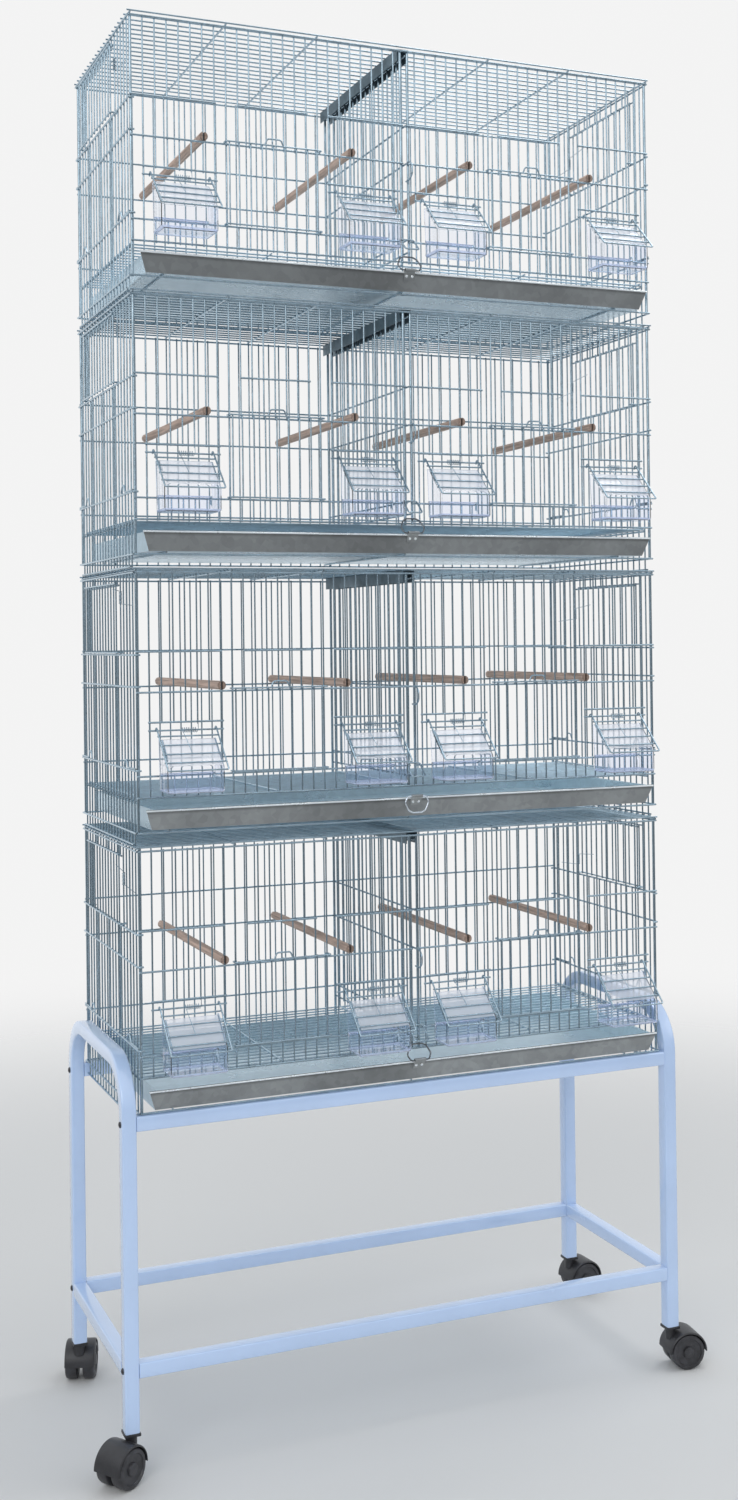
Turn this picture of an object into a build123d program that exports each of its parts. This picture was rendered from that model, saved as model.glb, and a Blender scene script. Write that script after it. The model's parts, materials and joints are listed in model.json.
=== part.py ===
"""Four stacked double breeding cages of welded wire on a wheeled square-tube stand.

Millimetres, +Z up, front towards -Y. The origin is on the floor below the middle of the stand.
Tier 1 is the top cage. Heights inside a cage are counted from its bottom rail.
"""

import math
import os

from build123d import *

os.makedirs("parts", exist_ok=True)

# Counts
TIER_COUNT = 4
FEEDER_SPACES = 6  # bar spaces across one feeder opening
DOOR_SPACES = 8  # bar spaces across one front door
DEPTH_SPACES = 19
GRATE_CROSS_WIRES = 5
RUNNER_COUNT = 3
FLAP_CROSS_SHARES = (0.17, 0.38, 0.59, 0.79)
SPRING_TURNS = 5
SPRING_SIDES = 4  # straight runs in one turn of the wound wire
WHEEL_SIDES = 20
HOOD_SIDES = 16
PERCH_SIDES = 6

# Wire
WIRE_PITCH = 15.875
BAR = 2.2
RAIL = 2.6
POST = 4.0
WELD_GAP = 0.02  # hair line between wires that are welded or seated on each other
SEAT_GAP = 0.3  # under pieces that rest loosely
RUN_GAP = 0.4  # room beside wires that slide past each other

# Heights in one cage
WALL_HEIGHT = 334.0
UPPER_RAIL = 231.0
MID_RAIL = 179.0
OPENING_TOP = 140.5
HINGE_HEIGHT = 130.0
LOWER_RAIL = 72.0
SIDE_UPPER_RAIL = 227.0
SIDE_MID_RAIL = 186.0
SIDE_LOWER_RAIL = 79.5
FRONT_SILL = 44.5
LEDGE_HEIGHT = 40.0
FOOT_DROP = 16.8

# Centre slot, divider and its roof channel
CENTRE_SLOT = 6.6
CHANNEL_WIDTH = 17.0
CHANNEL_DEPTH = 16.0
CHANNEL_SHEET = 1.0
DIVIDER_BOTTOM = 56.0  # clears a raised pull ring
DIVIDER_TOP_ROOM = 6.0  # below the top of the bars
PULL_LOOP_WIDTH = 20.0
PULL_LOOP_OUT = 18.0
PULL_LOOP_DROP = 16.0

# Doors
SIDE_DOOR_FIRST = 3  # bars of the right side, counted from the front, that guide its nest door
SIDE_DOOR_LAST = 14
SIDE_DOOR_TOP = 322.0
FINGER_LOOP_WIDTH = 18.0
FINGER_LOOP_HEIGHT = 7.0

# Feeders
FLAP_SLOPE = 44.0  # degrees below level at rest
FLAP_LENGTH = 74.0
FLAP_WIDTH = 79.0
SPRING_WIRE = 0.9
SPRING_LENGTH = 20.0
SPRING_OFFSET = 4.0  # middle of the coil beside the middle of the flap
SPRING_LEG = 42.0
CUP_WIDTH = 75.0
CUP_OUT = 46.0
CUP_FLOOR = 52.0
CUP_TOP = 119.0
CUP_WALL = 1.5

# Tray
TRAY_WIDTH = 730.0
TRAY_LIP_WIDTH = 748.0
TRAY_HEIGHT = 26.0
TRAY_SHEET = 0.9
TRAY_LIP_OUT = 8.0
TRAY_GAP = 0.15
RING_WIRE = 2.2
RING_HEIGHT = 23.0
RING_WIDTH = 37.0
RING_NECK = 29.0
RING_BELLY = 8.0  # from the hinge bar to the widest place
RING_CHAMFER = 6.0
RING_LEAN = 25.0  # degrees that a raised ring leans back
RING_RISE = 2.0  # of the hinge bar over the edge of the lip
HANGING_RING_TIER = 3
BRACKET_WIDTH = 16.0
BRACKET_HEIGHT = 16.0
BRACKET_SHEET = 1.0

# Perches
PERCH_WIDTH = 11.5
PERCH_SLOT = 3.0
PERCH_NOSE = 3.4
PERCH_COLUMNS = ((6, 19, 18, 6), (6, 19, 19, 6), (7, 18, 19, 7), (7, 18, 19, 7))

# Stand
TUBE = 19.0
TUBE_WALL = 1.2
BEND_RADIUS = 65.0
CAGE_BASE = 459.0
FRAME_TOP = 530.0
FRAME_ROOM = 4.0  # between the cage side and the end frame
LEG_SPREAD = 296.0  # between the middles of the front and rear legs
LEG_FOOT = 60.0
LOWER_RAIL_LEVEL = 137.0
SCREW_HEAD = 8.0
SCREW_RISE = 2.5

# Casters
WHEEL_DIAMETER = 50.0
WHEEL_WIDTH = 17.0
AXLE_DIAMETER = 6.0
CASTER_TRAIL = 20.0
CASTER_WEB = 7.0
HOOD_GAP = 1.5
HOOD_WALL = 2.5
STEM_DIAMETER = 10.0
STEM_RISE = 24.0  # inside the leg
STEM_SIDES = 8
SOCKET_PLATE = 4.0
SOCKET_RIM = 1.0
WHEEL_GAP = 0.5
AXLE_FIT = 0.1
CASTER_TURNS = (215.0, -8.0, 70.0, 4.0)  # front left, front right, rear left, rear right

# Worked out from the sizes above
HALF_SPACES = 2 * FEEDER_SPACES + DOOR_SPACES + 4
CAGE_WIDTH = 2 * HALF_SPACES * WIRE_PITCH
CAGE_DEPTH = DEPTH_SPACES * WIRE_PITCH
FRONT_FACE = -CAGE_DEPTH / 2
REAR_FACE = CAGE_DEPTH / 2
SIDE_FACE = CAGE_WIDTH / 2 + POST / 2
SIDE_OUT = SIDE_FACE + WELD_GAP + RAIL
FLAT_SHARE = 1 / math.sqrt(3)  # half the flat side of a three-sided wire, over its thickness
RAIL_HALF = RAIL * FLAT_SHARE
BAR_HALF = BAR * FLAT_SHARE
CROSS_FLAT = WALL_HEIGHT + WELD_GAP + RAIL
ROOF_TOP = CROSS_FLAT + WELD_GAP + BAR
TIER_RISE = ROOF_TOP + WELD_GAP + FOOT_DROP
TIER_BASES = [CAGE_BASE + (TIER_COUNT - 1 - n) * TIER_RISE for n in range(TIER_COUNT)]
HALVES = (-1, 1)


def wires(plane, flats, length, size, facing):
    """Straight three-sided wires that start on the plane.

    flats are the middles of their flat sides there, and facing is the angle that those sides look to.
    """
    turn = math.radians(facing)
    inset = size / 3
    shift = (-inset * math.cos(turn), -inset * math.sin(turn))
    with BuildSketch(plane) as ends:
        with Locations(*[(x + shift[0], y + shift[1]) for x, y in flats]):
            RegularPolygon(2 * inset, 3, rotation=facing + 180)
    extrude(ends.sketch, amount=length)


def upright(points, low, high, size, facing):
    """Upright wires at points x, y. facing: 0 is +X, 90 is +Y."""
    wires(Plane.XY.offset(low), points, high - low, size, facing)


def across(points, left, right, size, facing):
    """Wires along X at points y, z. facing: 0 is +Y, 90 is up."""
    wires(Plane.YZ.offset(left), points, right - left, size, facing)


def lengthwise(points, front, rear, size, facing):
    """Wires along Y at points x, z. facing: 0 is up, 90 is +X."""
    wires(Plane.ZX.offset(front), [(z, x) for x, z in points], rear - front, size, facing)


def square_posts(points, low, high, size):
    """Upright square posts at points x, y."""
    with BuildSketch(Plane.XY.offset(low)) as ends:
        with Locations(*points):
            Rectangle(size, size)
    extrude(ends.sketch, amount=high - low)


def column_x(column, half):
    """Where a bar of one half stands, counted from the outer end of that half."""
    return half * (CAGE_WIDTH / 2 - column * WIRE_PITCH)


def row_y(row):
    """Where a side bar or roof wire lies, counted from the front."""
    return FRONT_FACE + row * WIRE_PITCH


def half_turn(builder):
    """Adds a copy of the piece so far, turned half round about the upright through the origin."""
    add(builder.part.rotate(Axis.Z, 180))


def write(builder, name):
    builder.part.label = name
    export_step(builder.part, f"parts/{name}.step")


def write_at(builder, name, places):
    """Writes copies of a finished piece at several places as one group."""
    with BuildPart() as group:
        with Locations(*places):
            add(builder.part)
    write(group, name)


TIER_PLACES = [(0, 0, base) for base in TIER_BASES]
ROWS = range(1, DEPTH_SPACES)
COLUMNS = range(1, HALF_SPACES)
FEEDERS = ((1, 1 + FEEDER_SPACES), (HALF_SPACES - 1 - FEEDER_SPACES, HALF_SPACES - 1))
DOOR_GUIDES = (2 + FEEDER_SPACES, 2 + FEEDER_SPACES + DOOR_SPACES)
FEEDER_INNER = [c for first, last in FEEDERS for c in range(first + 1, last)]
DOOR_INNER = list(range(DOOR_GUIDES[0] + 1, DOOR_GUIDES[1]))
LEVELS = (UPPER_RAIL, MID_RAIL, LOWER_RAIL)
TOP_RAIL = WALL_HEIGHT - RAIL_HALF
CENTRE_POST = CENTRE_SLOT / 2 + POST / 2
RAIL_LINE = FRONT_FACE - WELD_GAP

# Front panel: bars with the openings for doors and feeders, and the rails that hold them
with BuildPart() as front_panel:
    end_posts = [(half * CAGE_WIDTH / 2, FRONT_FACE + POST / 2) for half in HALVES]
    centre_posts = [(half * CENTRE_POST, FRONT_FACE + POST / 2) for half in HALVES]
    square_posts(end_posts, -RAIL_HALF, WALL_HEIGHT, POST)
    square_posts(centre_posts, FRONT_SILL - RAIL_HALF, WALL_HEIGHT, POST)
    whole = [c for c in COLUMNS if c not in FEEDER_INNER and c not in DOOR_INNER]
    whole_points = [(column_x(c, half), FRONT_FACE) for c in whole for half in HALVES]
    feeder_points = [(column_x(c, half), FRONT_FACE) for c in FEEDER_INNER for half in HALVES]
    door_points = [(column_x(c, half), FRONT_FACE) for c in DOOR_INNER for half in HALVES]
    upright(whole_points, FRONT_SILL - RAIL_HALF, WALL_HEIGHT, BAR, 270)
    upright(feeder_points, OPENING_TOP - RAIL_HALF, WALL_HEIGHT, BAR, 270)
    upright(door_points, MID_RAIL - RAIL_HALF, WALL_HEIGHT, BAR, 270)
    upright(door_points, FRONT_SILL - RAIL_HALF, LOWER_RAIL + RAIL_HALF, BAR, 270)
    long_rails = [(RAIL_LINE, z) for z in (0, FRONT_SILL, TOP_RAIL)]
    across(long_rails, -SIDE_FACE, SIDE_FACE, RAIL, 0)
    half_rails = [(RAIL_LINE, z) for z in (LOWER_RAIL, MID_RAIL)]
    across(half_rails, -SIDE_FACE, -CENTRE_SLOT / 2, RAIL, 0)
    across(half_rails, CENTRE_SLOT / 2, SIDE_FACE, RAIL, 0)
    for half in HALVES:
        stops = [
            (half * SIDE_FACE, column_x(DOOR_GUIDES[0] - 1, half) - half * BAR_HALF),
            (
                column_x(DOOR_GUIDES[0] + 1, half) + half * BAR_HALF,
                column_x(DOOR_GUIDES[1] - 1, half) - half * BAR_HALF,
            ),
            (column_x(DOOR_GUIDES[1] + 1, half) + half * BAR_HALF, half * CENTRE_SLOT / 2),
        ]
        for stop in stops:
            across([(RAIL_LINE, UPPER_RAIL)], min(stop), max(stop), RAIL, 0)
        for first, last in FEEDERS:
            ends = sorted((column_x(first, half), column_x(last, half)))
            feeder_wires = [(RAIL_LINE, OPENING_TOP), (RAIL_LINE, HINGE_HEIGHT)]
            across(feeder_wires, ends[0] - RAIL, ends[1] + RAIL, RAIL, 0)
write_at(front_panel, "front_panels", TIER_PLACES)

# Rear panel, with the runners that carry the tray from the front rail to the rear rail
RUNNER_FLAT = RAIL_HALF + WELD_GAP
TRAY_BOTTOM = RUNNER_FLAT + BAR + TRAY_GAP
with BuildPart() as rear_panel:
    rear_posts = [(half * CAGE_WIDTH / 2, REAR_FACE - POST / 2) for half in HALVES]
    square_posts(rear_posts + [(0, REAR_FACE - POST / 2)], -RAIL_HALF, WALL_HEIGHT, POST)
    rear_points = [(column_x(c, half), REAR_FACE) for c in COLUMNS for half in HALVES]
    upright(rear_points, -RAIL_HALF, WALL_HEIGHT, BAR, 90)
    rear_rails = [(REAR_FACE + WELD_GAP, z) for z in (0, TOP_RAIL, *LEVELS)]
    across(rear_rails, -SIDE_FACE, SIDE_FACE, RAIL, 180)
    runner_step = (HALF_SPACES - 3) * WIRE_PITCH
    runner_points = [
        ((n - (RUNNER_COUNT - 1) / 2) * runner_step - WIRE_PITCH / 2, RUNNER_FLAT)
        for n in range(RUNNER_COUNT)
    ]
    lengthwise(runner_points, RAIL_LINE - RAIL, REAR_FACE + WELD_GAP + RAIL, BAR, 180)
write_at(rear_panel, "rear_panels", TIER_PLACES)

# Side panels: the bars run on below the bottom rail as a stacking foot. Both sides are one panel, turned
SIDE_DOOR_INNER = list(range(SIDE_DOOR_FIRST + 1, SIDE_DOOR_LAST))
with BuildPart() as side_panels:
    tall = [(SIDE_FACE, row_y(r)) for r in ROWS if r not in SIDE_DOOR_INNER]
    short = [(SIDE_FACE, row_y(r)) for r in SIDE_DOOR_INNER]
    upright(tall, -FOOT_DROP, WALL_HEIGHT, BAR, 0)
    upright(short, -FOOT_DROP, SIDE_UPPER_RAIL + RAIL_HALF, BAR, 0)
    side_levels = (0, TOP_RAIL, SIDE_UPPER_RAIL, SIDE_MID_RAIL, SIDE_LOWER_RAIL)
    side_rails = [(SIDE_FACE + WELD_GAP, z) for z in side_levels]
    lengthwise(side_rails, FRONT_FACE, REAR_FACE, RAIL, 270)
    foot_rail = [(SIDE_FACE + WELD_GAP, RAIL_HALF - FOOT_DROP)]
    ledge = [(SIDE_FACE - BAR - WELD_GAP, LEDGE_HEIGHT)]
    lengthwise(foot_rail, row_y(1) - BAR, row_y(DEPTH_SPACES - 1) + BAR, RAIL, 270)
    lengthwise(ledge, row_y(1) - BAR, row_y(DEPTH_SPACES - 1) + BAR, RAIL, 90)
    half_turn(side_panels)
write_at(side_panels, "side_panels", TIER_PLACES)

# Roof: long wires welded on cross wires
with BuildPart() as roof_panel:
    cross_points = [(column_x(c, half), CROSS_FLAT) for c in DOOR_GUIDES for half in HALVES]
    cross_points += [(half * (SIDE_FACE - BAR / 2), CROSS_FLAT) for half in HALVES]
    lengthwise(cross_points, RAIL_LINE - RAIL, -RAIL_LINE + RAIL, RAIL, 0)
    roof_rows = [row_y(r) for r in ROWS] + [RAIL_LINE - RAIL / 2, -RAIL_LINE + RAIL / 2]
    across([(y, CROSS_FLAT + WELD_GAP) for y in roof_rows], -SIDE_OUT, SIDE_OUT, BAR, 270)
write_at(roof_panel, "roof_panels", TIER_PLACES)

# Folded channel under the roof wires that guides the top of the divider
CHANNEL_FRONT = FRONT_FACE + POST + RUN_GAP
CHANNEL_REAR = REAR_FACE - POST - RUN_GAP
with BuildPart() as divider_channel:
    with BuildSketch(Plane.ZX.offset(CHANNEL_FRONT)):
        with Locations((CROSS_FLAT - CHANNEL_DEPTH / 2, 0)):
            Rectangle(CHANNEL_DEPTH, CHANNEL_WIDTH)
        with Locations((CROSS_FLAT - CHANNEL_SHEET - CHANNEL_DEPTH / 2, 0)):
            Rectangle(CHANNEL_DEPTH, CHANNEL_WIDTH - 2 * CHANNEL_SHEET, mode=Mode.SUBTRACT)
    extrude(amount=CHANNEL_REAR - CHANNEL_FRONT)
write_at(divider_channel, "divider_channels", TIER_PLACES)

# Floor grate: long wires on the side ledges, cross wires on top of them
GRATE_FLAT = LEDGE_HEIGHT + RAIL_HALF + WELD_GAP + BAR
GRATE_TOP = GRATE_FLAT + WELD_GAP + BAR
GRATE_END = SIDE_FACE - BAR - RUN_GAP
with BuildPart() as floor_grate:
    grate_rows = [(row_y(r), GRATE_FLAT) for r in ROWS]
    across(grate_rows, -GRATE_END, GRATE_END, BAR, 90)
    cross_step = 2 * (GRATE_END - RAIL) / (GRATE_CROSS_WIRES - 1)
    grate_cross = [
        ((n - (GRATE_CROSS_WIRES - 1) / 2) * cross_step, GRATE_FLAT + WELD_GAP)
        for n in range(GRATE_CROSS_WIRES)
    ]
    lengthwise(grate_cross, row_y(1) - BAR, row_y(DEPTH_SPACES - 1) + BAR, BAR, 180)
write_at(floor_grate, "floor_grates", TIER_PLACES)

# Divider: slides out between the centre posts by its pull loop
DIVIDER_TOP = WALL_HEIGHT - DIVIDER_TOP_ROOM
DIVIDER_FRONT = FRONT_FACE
DIVIDER_REAR = REAR_FACE - POST - RUN_GAP
LOOP_LINE = FRONT_FACE - RUN_GAP
LOOP_LEVEL = LOWER_RAIL + RAIL_HALF + WELD_GAP + RAIL_HALF
with BuildPart() as divider:
    divider_rows = [(-WELD_GAP, row_y(r) - WIRE_PITCH / 2) for r in ROWS]
    upright(divider_rows[:-1], DIVIDER_BOTTOM, DIVIDER_TOP, BAR, 0)
    upright(divider_rows[-1:], GRATE_TOP + SEAT_GAP, DIVIDER_TOP, BAR, 0)
    rail_levels = (DIVIDER_BOTTOM + RAIL_HALF, MID_RAIL, UPPER_RAIL, DIVIDER_TOP - RAIL_HALF)
    lengthwise([(0, z) for z in rail_levels], DIVIDER_FRONT, DIVIDER_REAR, RAIL, 270)
    lengthwise([(0, LOOP_LEVEL)], LOOP_LINE, DIVIDER_REAR, RAIL, 270)
    reach = PULL_LOOP_WIDTH / 2
    across([(LOOP_LINE - WELD_GAP, LOOP_LEVEL)], -reach, reach, RAIL, 0)
    loop_slope = math.hypot(PULL_LOOP_OUT, PULL_LOOP_DROP)
    slope_plane = Plane(
        origin=(0, LOOP_LINE - WELD_GAP - RAIL - WELD_GAP, LOOP_LEVEL),
        x_dir=(1, 0, 0),
        z_dir=(0, -PULL_LOOP_OUT, -PULL_LOOP_DROP),
    )
    wires(slope_plane, [(-reach, 0), (reach, 0)], loop_slope, BAR, 90)
    foot = slope_plane.from_local_coords((0, -BAR / 2, loop_slope + WELD_GAP))
    slant = math.degrees(math.atan2(PULL_LOOP_DROP, PULL_LOOP_OUT))
    across([(foot.Y, foot.Z)], -reach - BAR_HALF, reach + BAR_HALF, BAR, slant)
for tier, place in enumerate(TIER_PLACES, 1):
    write_at(divider, f"divider_{tier}", [place])

# Front door: bars and two frame wires in front of the panel, with hooks round the guide bars
DOOR_BAR_FLAT = RAIL_LINE - RAIL - RUN_GAP - BAR
DOOR_WIRE_LINE = DOOR_BAR_FLAT - WELD_GAP
DOOR_LOW = LOWER_RAIL + RAIL_HALF + WELD_GAP + BAR_HALF
DOOR_HIGH = MID_RAIL + RAIL_HALF + RUN_GAP + BAR_HALF
GUIDE_REACH = DOOR_SPACES * WIRE_PITCH / 2 + BAR_HALF + RUN_GAP
HOOK_BACK = FRONT_FACE + BAR + RUN_GAP
with BuildPart() as front_door:
    door_columns = [(n - DOOR_SPACES / 2) * WIRE_PITCH for n in range(1, DOOR_SPACES)]
    door_columns += [half * (DOOR_SPACES * WIRE_PITCH / 2 - BAR - RUN_GAP) for half in HALVES]
    door_bars = [(x, DOOR_BAR_FLAT) for x in door_columns]
    upright(door_bars, DOOR_LOW - BAR_HALF, DOOR_HIGH + BAR_HALF, BAR, 270)
    frame_lines = [(DOOR_WIRE_LINE, DOOR_LOW), (DOOR_WIRE_LINE, DOOR_HIGH)]
    across(frame_lines, -GUIDE_REACH - BAR, GUIDE_REACH + BAR, BAR, 0)
    for level in (DOOR_LOW, DOOR_HIGH):
        hook_legs = [(-GUIDE_REACH, level), (GUIDE_REACH, level)]
        lengthwise(hook_legs[:1], DOOR_WIRE_LINE + WELD_GAP, HOOK_BACK + BAR, BAR, 90)
        lengthwise(hook_legs[1:], DOOR_WIRE_LINE + WELD_GAP, HOOK_BACK + BAR, BAR, 270)
        for half in HALVES:
            tips = sorted((half * (GUIDE_REACH - WELD_GAP), half * (GUIDE_REACH - 3 * BAR_HALF)))
            across([(HOOK_BACK, level)], tips[0], tips[1], BAR, 180)
    finger = FINGER_LOOP_WIDTH / 2
    finger_low = DOOR_HIGH + BAR_HALF + WELD_GAP
    finger_points = [(-finger, DOOR_WIRE_LINE), (finger, DOOR_WIRE_LINE)]
    upright(finger_points, finger_low, finger_low + FINGER_LOOP_HEIGHT, BAR, 90)
    finger_top = [(DOOR_WIRE_LINE, finger_low + FINGER_LOOP_HEIGHT + WELD_GAP + BAR_HALF)]
    across(finger_top, -finger - BAR_HALF, finger + BAR_HALF, BAR, 0)
DOOR_MIDDLE = column_x(sum(DOOR_GUIDES) / 2, 1)
for tier, base in enumerate(TIER_BASES, 1):
    for half, side in ((-1, "left"), (1, "right")):
        write_at(front_door, f"front_door_{tier}_{side}", [(half * DOOR_MIDDLE, 0, base)])

# Nest doors on both sides of a cage: bars and two frame wires outside the side panel
NEST_BAR_FLAT = SIDE_OUT + RUN_GAP + BAR
NEST_WIRE_LINE = NEST_BAR_FLAT + WELD_GAP
NEST_LOW = SIDE_UPPER_RAIL + RAIL_HALF + WELD_GAP + BAR_HALF
NEST_HOOK_BACK = SIDE_FACE - BAR - RUN_GAP
NEST_FRONT = row_y(SIDE_DOOR_FIRST) - BAR_HALF - RUN_GAP
NEST_REAR = row_y(SIDE_DOOR_LAST) + BAR_HALF + RUN_GAP
with BuildPart() as nest_doors:
    nest_rows = [row_y(r) for r in SIDE_DOOR_INNER]
    nest_rows += [NEST_FRONT + 2 * BAR + RUN_GAP, NEST_REAR - 2 * BAR - RUN_GAP]
    nest_bars = [(NEST_BAR_FLAT, y) for y in nest_rows]
    upright(nest_bars, NEST_LOW - BAR_HALF, SIDE_DOOR_TOP, BAR, 0)
    nest_levels = (NEST_LOW, SIDE_DOOR_TOP - BAR_HALF)
    nest_wires = [(NEST_WIRE_LINE, z) for z in nest_levels]
    lengthwise(nest_wires, NEST_FRONT - BAR, NEST_REAR + BAR, BAR, 270)
    for y, facing in ((NEST_FRONT, 0), (NEST_REAR, 180)):
        across([(y, NEST_LOW)], NEST_HOOK_BACK - BAR, NEST_WIRE_LINE - WELD_GAP, BAR, facing)
    hook_tip = [(NEST_HOOK_BACK, NEST_LOW)]
    lengthwise(hook_tip, NEST_FRONT + WELD_GAP, NEST_FRONT + 3 * BAR_HALF, BAR, 90)
    lengthwise(hook_tip, NEST_REAR - 3 * BAR_HALF, NEST_REAR - WELD_GAP, BAR, 90)
    half_turn(nest_doors)
for tier, place in enumerate(TIER_PLACES, 1):
    write_at(nest_doors, f"nest_doors_{tier}", [place])

# Feeder flap: drawn in its own slope plane about the hinge wire, whose middle is the turning axis
HINGE_Y = RAIL_LINE - RAIL / 3
HINGE_ROOM = RAIL * 2 / 3
FLAP_FLAT = HINGE_ROOM + RUN_GAP
ARM_REACH = FLAP_WIDTH / 2
slope = math.radians(FLAP_SLOPE)
flap_out = (0, -math.cos(slope), -math.sin(slope))
flap_up = (0, -math.sin(slope), math.cos(slope))


def flap_point(along, above):
    """Y and Z of a point of the flap, from the hinge axis along the slope and above it."""
    y = HINGE_Y + along * flap_out[1] + above * flap_up[1]
    z = HINGE_HEIGHT + along * flap_out[2] + above * flap_up[2]
    return y, z


def slope_plane_at(along):
    """Plane square to the slope, with X to the right and its own Y above the flap."""
    return Plane(origin=(0, *flap_point(along, 0)), x_dir=(1, 0, 0), z_dir=flap_out)


SPRING_RADIUS = (HINGE_ROOM + RUN_GAP + SPRING_WIRE) / math.cos(math.pi / SPRING_SIDES)
SPRING_STEP = SPRING_LENGTH / SPRING_TURNS
SPRING_START = SPRING_OFFSET - SPRING_LENGTH / 2
coil_points = []
for n in range(SPRING_TURNS * SPRING_SIDES + 1):
    share = n / SPRING_SIDES
    turn = 2 * math.pi * share + math.pi / 2
    y, z = flap_point(SPRING_RADIUS * math.cos(turn), SPRING_RADIUS * math.sin(turn))
    coil_points.append((SPRING_START + share * SPRING_STEP, y, z))
leg_low = FLAP_FLAT + WELD_GAP + SPRING_WIRE
leg_points = [
    (SPRING_START + SPRING_OFFSET, *flap_point(SPRING_LEG, leg_low)),
    (SPRING_START, *flap_point(SPRING_RADIUS, leg_low)),
]
spring_points = leg_points + coil_points


def least_gap(points, thickness, apart):
    """Least room between stretches of a wire that lie farther than a given length apart along it."""
    spots = []
    run = 0.0
    for start, end in zip(points, points[1:]):
        length = math.dist(start, end)
        steps = math.ceil(length / thickness)
        for n in range(steps):
            share = n / steps
            spot = [a + share * (b - a) for a, b in zip(start, end)]
            spots.append((run + share * length, spot))
        run += length
    rooms = []
    for index, (place, spot) in enumerate(spots):
        rooms += [math.dist(spot, other) for far, other in spots[index:] if far - place > apart]
    return min(rooms) - thickness


spring_gap = least_gap(spring_points, 2 * SPRING_WIRE * FLAT_SHARE, math.pi * SPRING_RADIUS)
print("least gap of the spring to itself:", round(spring_gap, 2), "mm")

with BuildPart() as flap_frame:
    arm_start = -FLAP_FLAT - BAR
    arms = [(half * ARM_REACH, FLAP_FLAT + WELD_GAP) for half in HALVES]
    wires(slope_plane_at(arm_start), arms, FLAP_LENGTH - arm_start, BAR, 270)
    hook_plane = Plane(
        origin=(0, *flap_point(-FLAP_FLAT, FLAP_FLAT)),
        x_dir=(1, 0, 0),
        z_dir=tuple(-v for v in flap_up),
    )
    wires(hook_plane, [(half * ARM_REACH, 0) for half in HALVES], 2 * FLAP_FLAT, BAR, 90)
    for share in (*FLAP_CROSS_SHARES, 1):
        along = share * FLAP_LENGTH - BAR_HALF
        facing = 90 + FLAP_SLOPE
        across([flap_point(along, FLAP_FLAT)], -ARM_REACH - BAR_HALF, ARM_REACH + BAR_HALF, BAR, facing)

with BuildPart() as flap_spring:
    with BuildLine() as wound_wire:
        Polyline(*spring_points)
    with BuildSketch(Plane(wound_wire.line @ 0, z_dir=wound_wire.line % 0)):
        RegularPolygon(SPRING_WIRE * FLAT_SHARE, 3)
    sweep(transition=Transition.RIGHT)

with BuildPart() as feeder_flap:
    add(flap_frame.part)
    add(flap_spring.part)

FEEDER_MIDDLES = sorted(
    column_x((first + last) / 2, half) for first, last in FEEDERS for half in HALVES
)
for tier, base in enumerate(TIER_BASES, 1):
    for letter, x in zip("abcd", FEEDER_MIDDLES):
        write_at(feeder_flap, f"feeder_flap_{tier}{letter}", [(x, 0, base)])

# Feeder cup: clear tub with a sloping window, open to the cage, hung by its back flange on the lower rail
CUP_BACK = RAIL_LINE - RAIL - SEAT_GAP
CUP_FRONT = HINGE_Y - CUP_OUT
CUP_EDGE = FLAP_FLAT - BAR - SEAT_GAP


def cup_edge_z(y, depth=0):
    """Height of the window, which lies just under the flap's cross wires, or of a line inside it."""
    return HINGE_HEIGHT - (HINGE_Y - y) * math.tan(slope) + (CUP_EDGE - depth) / math.cos(slope)


def cup_edge_y(z, depth=0):
    """Where the window, or a line inside it, is at a height."""
    return HINGE_Y - (HINGE_HEIGHT - z + (CUP_EDGE - depth) / math.cos(slope)) / math.tan(slope)


CUP_BACK_WALL = LOWER_RAIL + RAIL_HALF + SEAT_GAP + CUP_WALL
with BuildPart() as feeder_cup:
    with BuildSketch(Plane.YZ.offset(-CUP_WIDTH / 2)):
        with BuildLine():
            Polyline(
                (CUP_BACK, CUP_FLOOR),
                (CUP_FRONT, CUP_FLOOR),
                (CUP_FRONT, cup_edge_z(CUP_FRONT)),
                (cup_edge_y(CUP_TOP), CUP_TOP),
                (CUP_BACK, CUP_TOP),
                close=True,
            )
        make_face()
    extrude(amount=CUP_WIDTH)
    cut_front = CUP_FRONT + CUP_WALL
    cut_top = CUP_TOP + CUP_WALL
    inner = [
        (CUP_BACK - CUP_WALL, CUP_FLOOR + CUP_WALL),
        (cut_front, CUP_FLOOR + CUP_WALL),
        (cut_front, cup_edge_z(cut_front, CUP_WALL)),
        (cup_edge_y(cut_top, CUP_WALL), cut_top),
        (CUP_BACK + CUP_WALL, cut_top),
        (CUP_BACK + CUP_WALL, CUP_BACK_WALL),
        (CUP_BACK - CUP_WALL, CUP_BACK_WALL),
    ]
    with BuildSketch(Plane.YZ.offset(-CUP_WIDTH / 2 + CUP_WALL)):
        with BuildLine():
            Polyline(*inner, close=True)
        make_face()
    extrude(amount=CUP_WIDTH - 2 * CUP_WALL, mode=Mode.SUBTRACT)
    flange_front = CUP_BACK - CUP_WALL
    flange_rear = FRONT_FACE - SEAT_GAP
    with Locations((0, (flange_front + flange_rear) / 2, CUP_BACK_WALL - CUP_WALL / 2)):
        Box(CUP_WIDTH, flange_rear - flange_front, CUP_WALL)
CUP_PLACES = [(x, 0, base) for base in TIER_BASES for x in FEEDER_MIDDLES]
write_at(feeder_cup, "feeder_cups", CUP_PLACES)

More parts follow.
